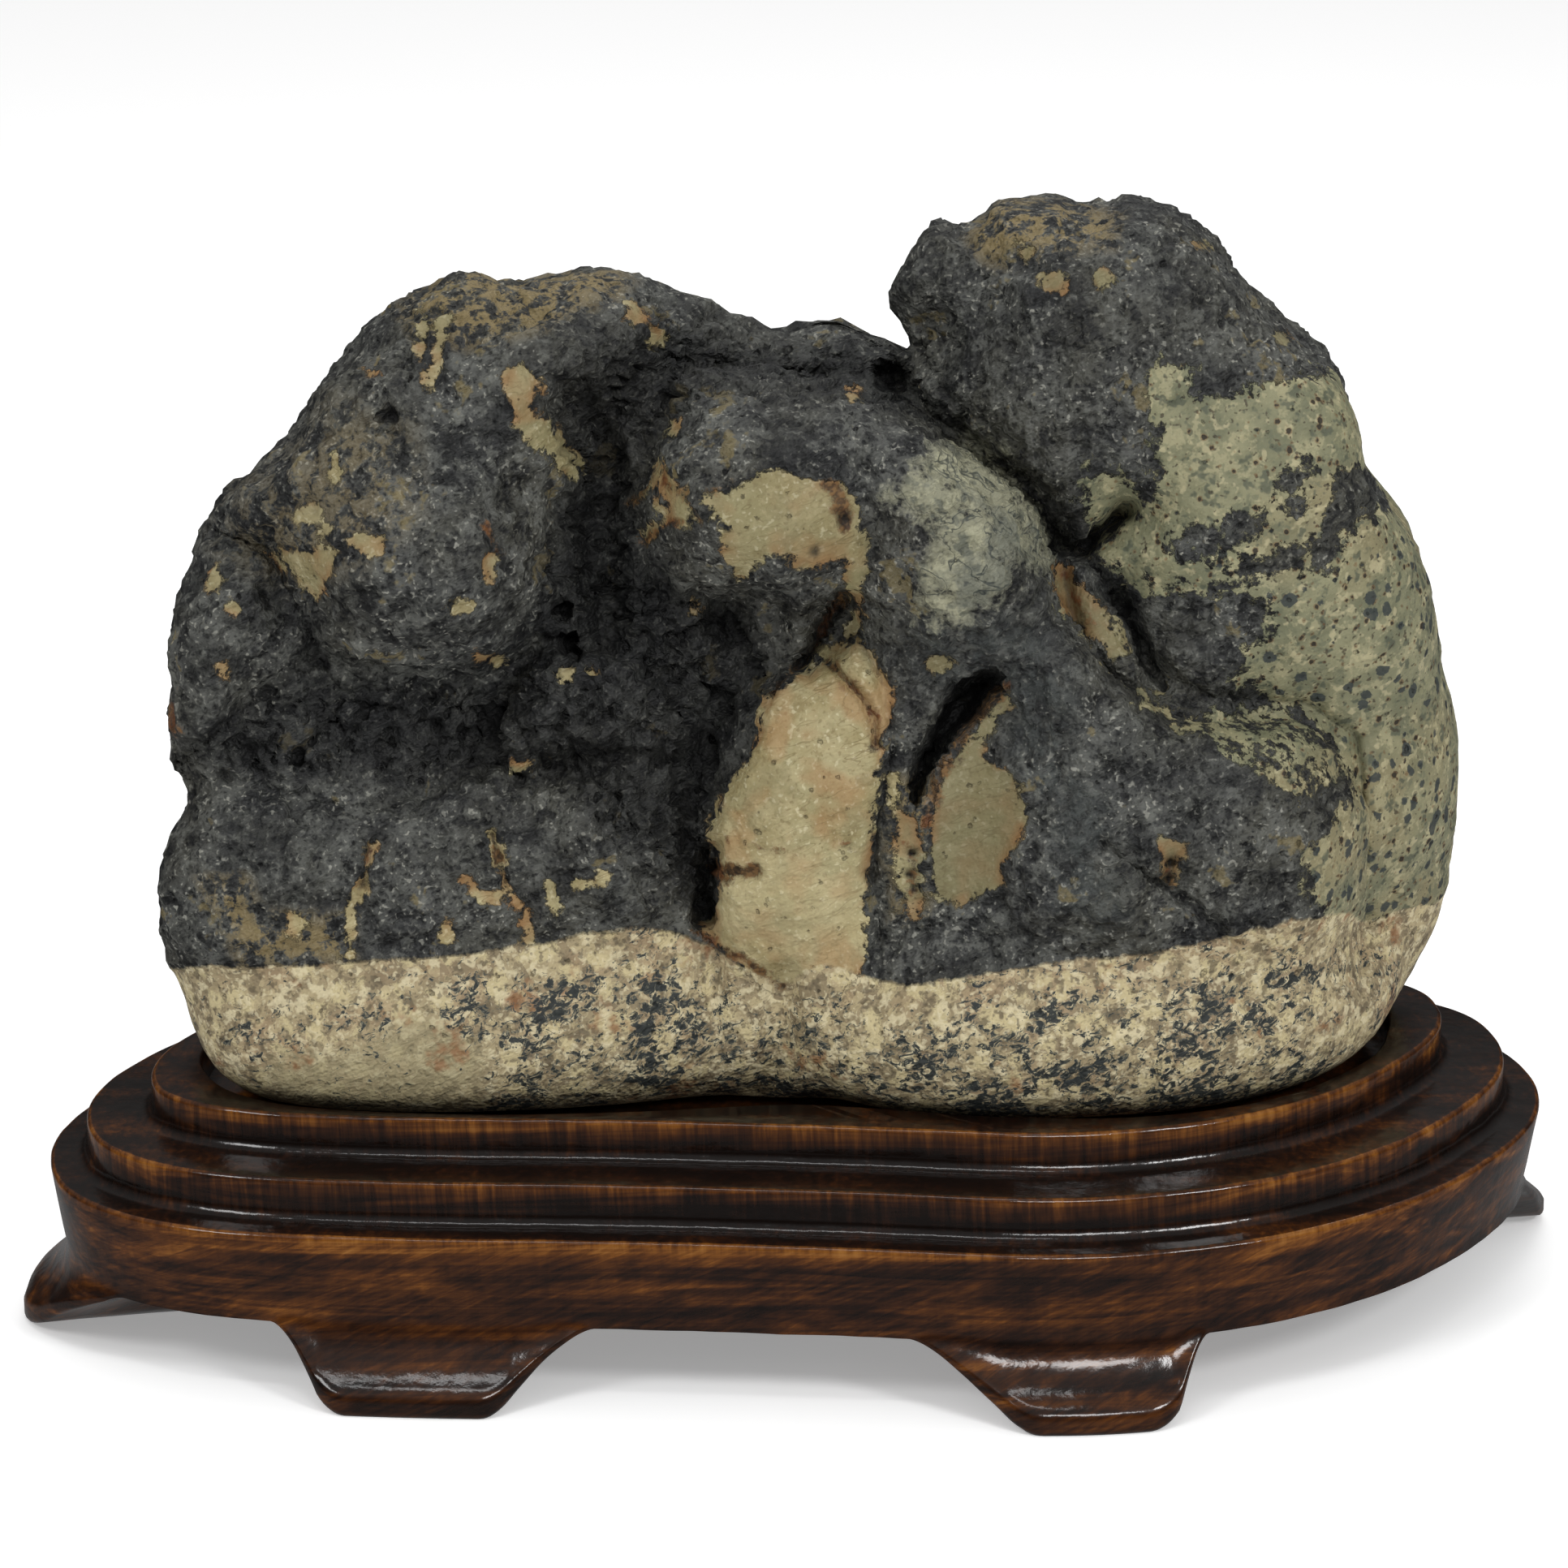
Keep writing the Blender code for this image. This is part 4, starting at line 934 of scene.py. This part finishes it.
# Flakes of mica lie where there is room for them: in drifts, and thick only in the mica band.
drift = add_node(rock, "MapRange", i0=noises["blush"], i1=0.35, i2=0.65, i3=0.12, i4=-0.06)
salty = add_node(rock, "MapRange", i0=noises["stain"], i1=0.42, i2=0.58, i3=0.15, i4=1.0)
rusty = add_node(rock, "MapRange", i0=noises["blush"], i1=0.46, i2=0.60)
room = add_node(rock, "Math", operation="MULTIPLY_ADD", i0=band["mica"], i1=0.14, i2=noises["flakes"])
room = add_node(rock, "Math", operation="SUBTRACT", i0=room, i1=drift)
lump = add_node(rock, "MapRange", i0=noises["feldspar"], i1=0.40, i2=0.26, i4=0.10)
noises["mica"] = add_node(rock, "Math", operation="SUBTRACT", i0=room, i1=lump)
for name in ("scratch", "vein"):
    off = add_node(rock, "Math", operation="SUBTRACT", i0=noises[name], i1=0.5)
    noises[name + "_line"] = add_node(rock, "Math", operation="ABSOLUTE", i0=off)
noises["buff_depth"] = band["buff"]
limits = {**band, **share, "salty": salty, "rusty": rusty}

# Each kind of rock is a ground colour with tints laid over it in turn: what guides the tint, from
# which value to which it fades in, its greatest strength, its colour, and what limits it.
KINDS = {
    "dark": ("#2b2c2c", [
        ("middle", 0.38, 0.62, 1.0, "#434440", None),
        ("broad", 0.45, 0.62, 0.4, "#504e41", None),
        ("stain", 0.50, 0.60, 0.40, "#6b6c67", None),
        ("stain", 0.46, 0.38, 0.45, "#191a1b", None),
        ("ragged", 0.52, 0.62, 0.7, "#5f605b", None),
        ("ragged", 0.47, 0.39, 0.8, "#151617", None),
        ("gritty", 0.59, 0.65, 0.4, "#7d7e76", "salty"),
        ("gritty", 0.40, 0.33, 0.7, "#131415", None),
        ("grit", 0.63, 0.69, 0.6, "#a5a499", "salty"),
        ("grit", 0.39, 0.32, 0.6, "#131415", None),
        ("ragged", 0.47, 0.53, 0.8, "#86754d", "wash"),
        ("patchy", 0.42, 0.56, 0.5, "#4d5250", "slate"),
        ("stain", 0.62, 0.66, 0.6, "#7d7049", None),
        ("ragged", 0.32, 0.44, 1.0, "#878670", "fold_green"),
        ("patchy", 0.50, 0.56, 0.6, "#a9a78c", "fold_green"),
        ("stain", 0.50, 0.40, 0.6, "#5c6059", "fold_green"),
        ("gritty", 0.44, 0.36, 0.6, "#4b504a", "fold_green"),
        ("vein_line", 0.016, 0.004, 0.8, "#343a38", "fold_green"),
        # Painted shade: the hollows are painted near black.
        ("middle", -1.0, 0.0, 0.68, "#121314", "hollow"),
    ]),
    "sage": ("#6d6e55", [
        ("middle", 0.38, 0.62, 1.0, "#868466", None),
        ("broad", 0.50, 0.64, 0.5, "#8f815d", None),
        ("patchy", 0.54, 0.59, 0.6, "#9f9977", None),
        ("patchy", 0.44, 0.39, 0.5, "#5a5f4c", None),
        ("gritty", 0.59, 0.66, 0.6, "#b3aa86", None),
        ("gritty", 0.42, 0.35, 0.8, "#4c5142", None),
        ("grit", 0.37, 0.30, 0.8, "#41392a", None),
        ("pin_holes", -0.12, -0.02, 0.6, "#6b4d2c", None),
        ("pin_holes", 0.00, 0.05, 0.9, "#28241c", None),
        ("big_spots", -0.04, 0.02, 0.9, "#343b3b", None),
    ]),
    "buff": ("#96875d", [
        ("middle", 0.36, 0.64, 1.0, "#a89d76", None),
        ("broad", 0.46, 0.60, 0.5, "#8d8861", None),
        ("patchy", 0.52, 0.60, 0.5, "#b3a67e", None),
        ("patchy", 0.45, 0.38, 0.5, "#7d6d44", None),
        ("grit", 0.61, 0.70, 0.6, "#c9c09e", None),
        ("grit", 0.39, 0.31, 0.5, "#7a6a46", None),
        ("blush", 0.49, 0.62, 0.5, "#9c754a", None),
        ("stain", 0.46, 0.38, 0.4, "#7c7250", None),
        ("scratch_line", 0.011, 0.003, 0.6, "#6b5a34", "salty"),
        # Olive tone and painted shade on the right of the buff.
        ("middle", -1.0, 0.0, 0.62, "#5f5b40", "olive_and_painted_shade"),
        # Painted light on the foot of the column.
        ("middle", -1.0, 0.0, 0.3, "#ccc095", "pale_and_painted_light"),
        ("buff_depth", 1.6, 0.1, 0.6, "#855a30", "rusty"),
    ]),
    "granite": ("#7f7157", [
        ("grain", 0.0, 1.0, 1.0, "#b1a27d", None),
        ("blush", 0.48, 0.60, 0.4, "#a68c6c", None),
        ("feldspar", 0.42, 0.28, 0.75, "#c6b88d", None),
        ("gritty", 0.55, 0.62, 0.75, "#d0c4a0", None),
        ("gritty", 0.43, 0.35, 0.75, "#5f5440", None),
        ("grit", 0.60, 0.66, 0.5, "#cfc4a2", None),
        ("grit", 0.40, 0.33, 0.6, "#5b5140", None),
        ("middle", -1.0, 0.0, 0.65, "#9a906e", "pale_and_painted_light"),
        ("stain", 0.60, 0.68, 0.7, "#85552f", None),
        ("mica", 0.600, 0.635, 0.8, "#4a514b", None),
        ("mica", 0.645, 0.68, 0.9, "#23292a", None),
    ]),
    "rust": ("#4f3a22", [
        ("grit", 0.46, 0.60, 0.7, "#806038", None),
        ("gritty", 0.48, 0.40, 0.8, "#251a0f", None),
        ("blush", 0.50, 0.60, 0.5, "#74421f", None),
    ]),
}
tone = {}
for kind, (ground, tints) in KINDS.items():
    colour = to_linear(ground)
    for guide, low, high, strength, tint, limit in tints:
        amount = add_node(rock, "MapRange", i0=noises[guide], i1=low, i2=high, i4=strength)
        if limit:
            amount = add_node(rock, "Math", operation="MULTIPLY", i0=amount, i1=limits[limit])
        colour = add_node(rock, "Mix", data_type="RGBA", i0=amount, i6=colour, i7=to_linear(tint))
        colour = colour.outputs[2]
    tone[kind] = colour
skin = tone["dark"]
for kind in ("sage", "buff", "granite", "rust"):
    skin = add_node(rock, "Mix", data_type="RGBA", i0=share[kind], i6=skin, i7=tone[kind])
    skin = skin.outputs[2]
# Painted shade: the slit and the pits are painted near black.
shaded = add_node(rock, "Math", operation="MULTIPLY", i0=band["painted_pit_shade"], i1=0.9)
skin = add_node(rock, "Mix", data_type="RGBA", i0=shaded, i6=skin, i7=to_linear("#0c0c0c"))
join(rock, skin.outputs[2], rock_shader.inputs["Base Color"])
rock_shader.inputs["Roughness"].default_value = 0.68
rock_shader.inputs["Specular IOR Level"].default_value = 0.35

# Fine relief: rough on the dark rock, worn smoother on the bands and the granite, porous in hollows.
worn = add_node(rock, "Math", operation="MULTIPLY", i0=share["granite"], i1=0.5)
for name in ("buff", "sage"):
    worn = add_node(rock, "Math", operation="MAXIMUM", i0=worn, i1=share[name])
rough = add_node(rock, "MapRange", i0=worn, i3=1.0, i4=0.4)
relief_sum = 0.0
for name, strength in (("middle", 0.5), ("fibre", 0.6), ("gritty", 0.8), ("grit", 0.4)):
    relief_sum = add_node(
        rock, "Math", operation="MULTIPLY_ADD", i0=noises[name], i1=strength, i2=relief_sum
    )
relief_sum = add_node(rock, "Math", operation="MULTIPLY", i0=relief_sum, i1=rough)
hole = add_node(rock, "MapRange", i0=noises["pores"], i1=-0.10, i2=0.10, i4=0.9)
relief_sum = add_node(rock, "Math", operation="SUBTRACT", i0=relief_sum, i1=hole)
relief_bump = add_node(rock, "Bump", Height=relief_sum, Strength=1.0, Distance=0.0013)
join(rock, relief_bump.outputs[0], rock_shader.inputs["Normal"])
stone_mesh.materials.append(rock)
scholars_stone = bpy.data.objects.new("scholars_stone", stone_mesh)
bpy.context.collection.objects.link(scholars_stone)
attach(scholars_stone, "root")
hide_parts("stone")

# ---- Finish ---------------------------------------------------------------------------------------
# The bounds of the finished model, without the table, are found.
low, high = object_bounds()
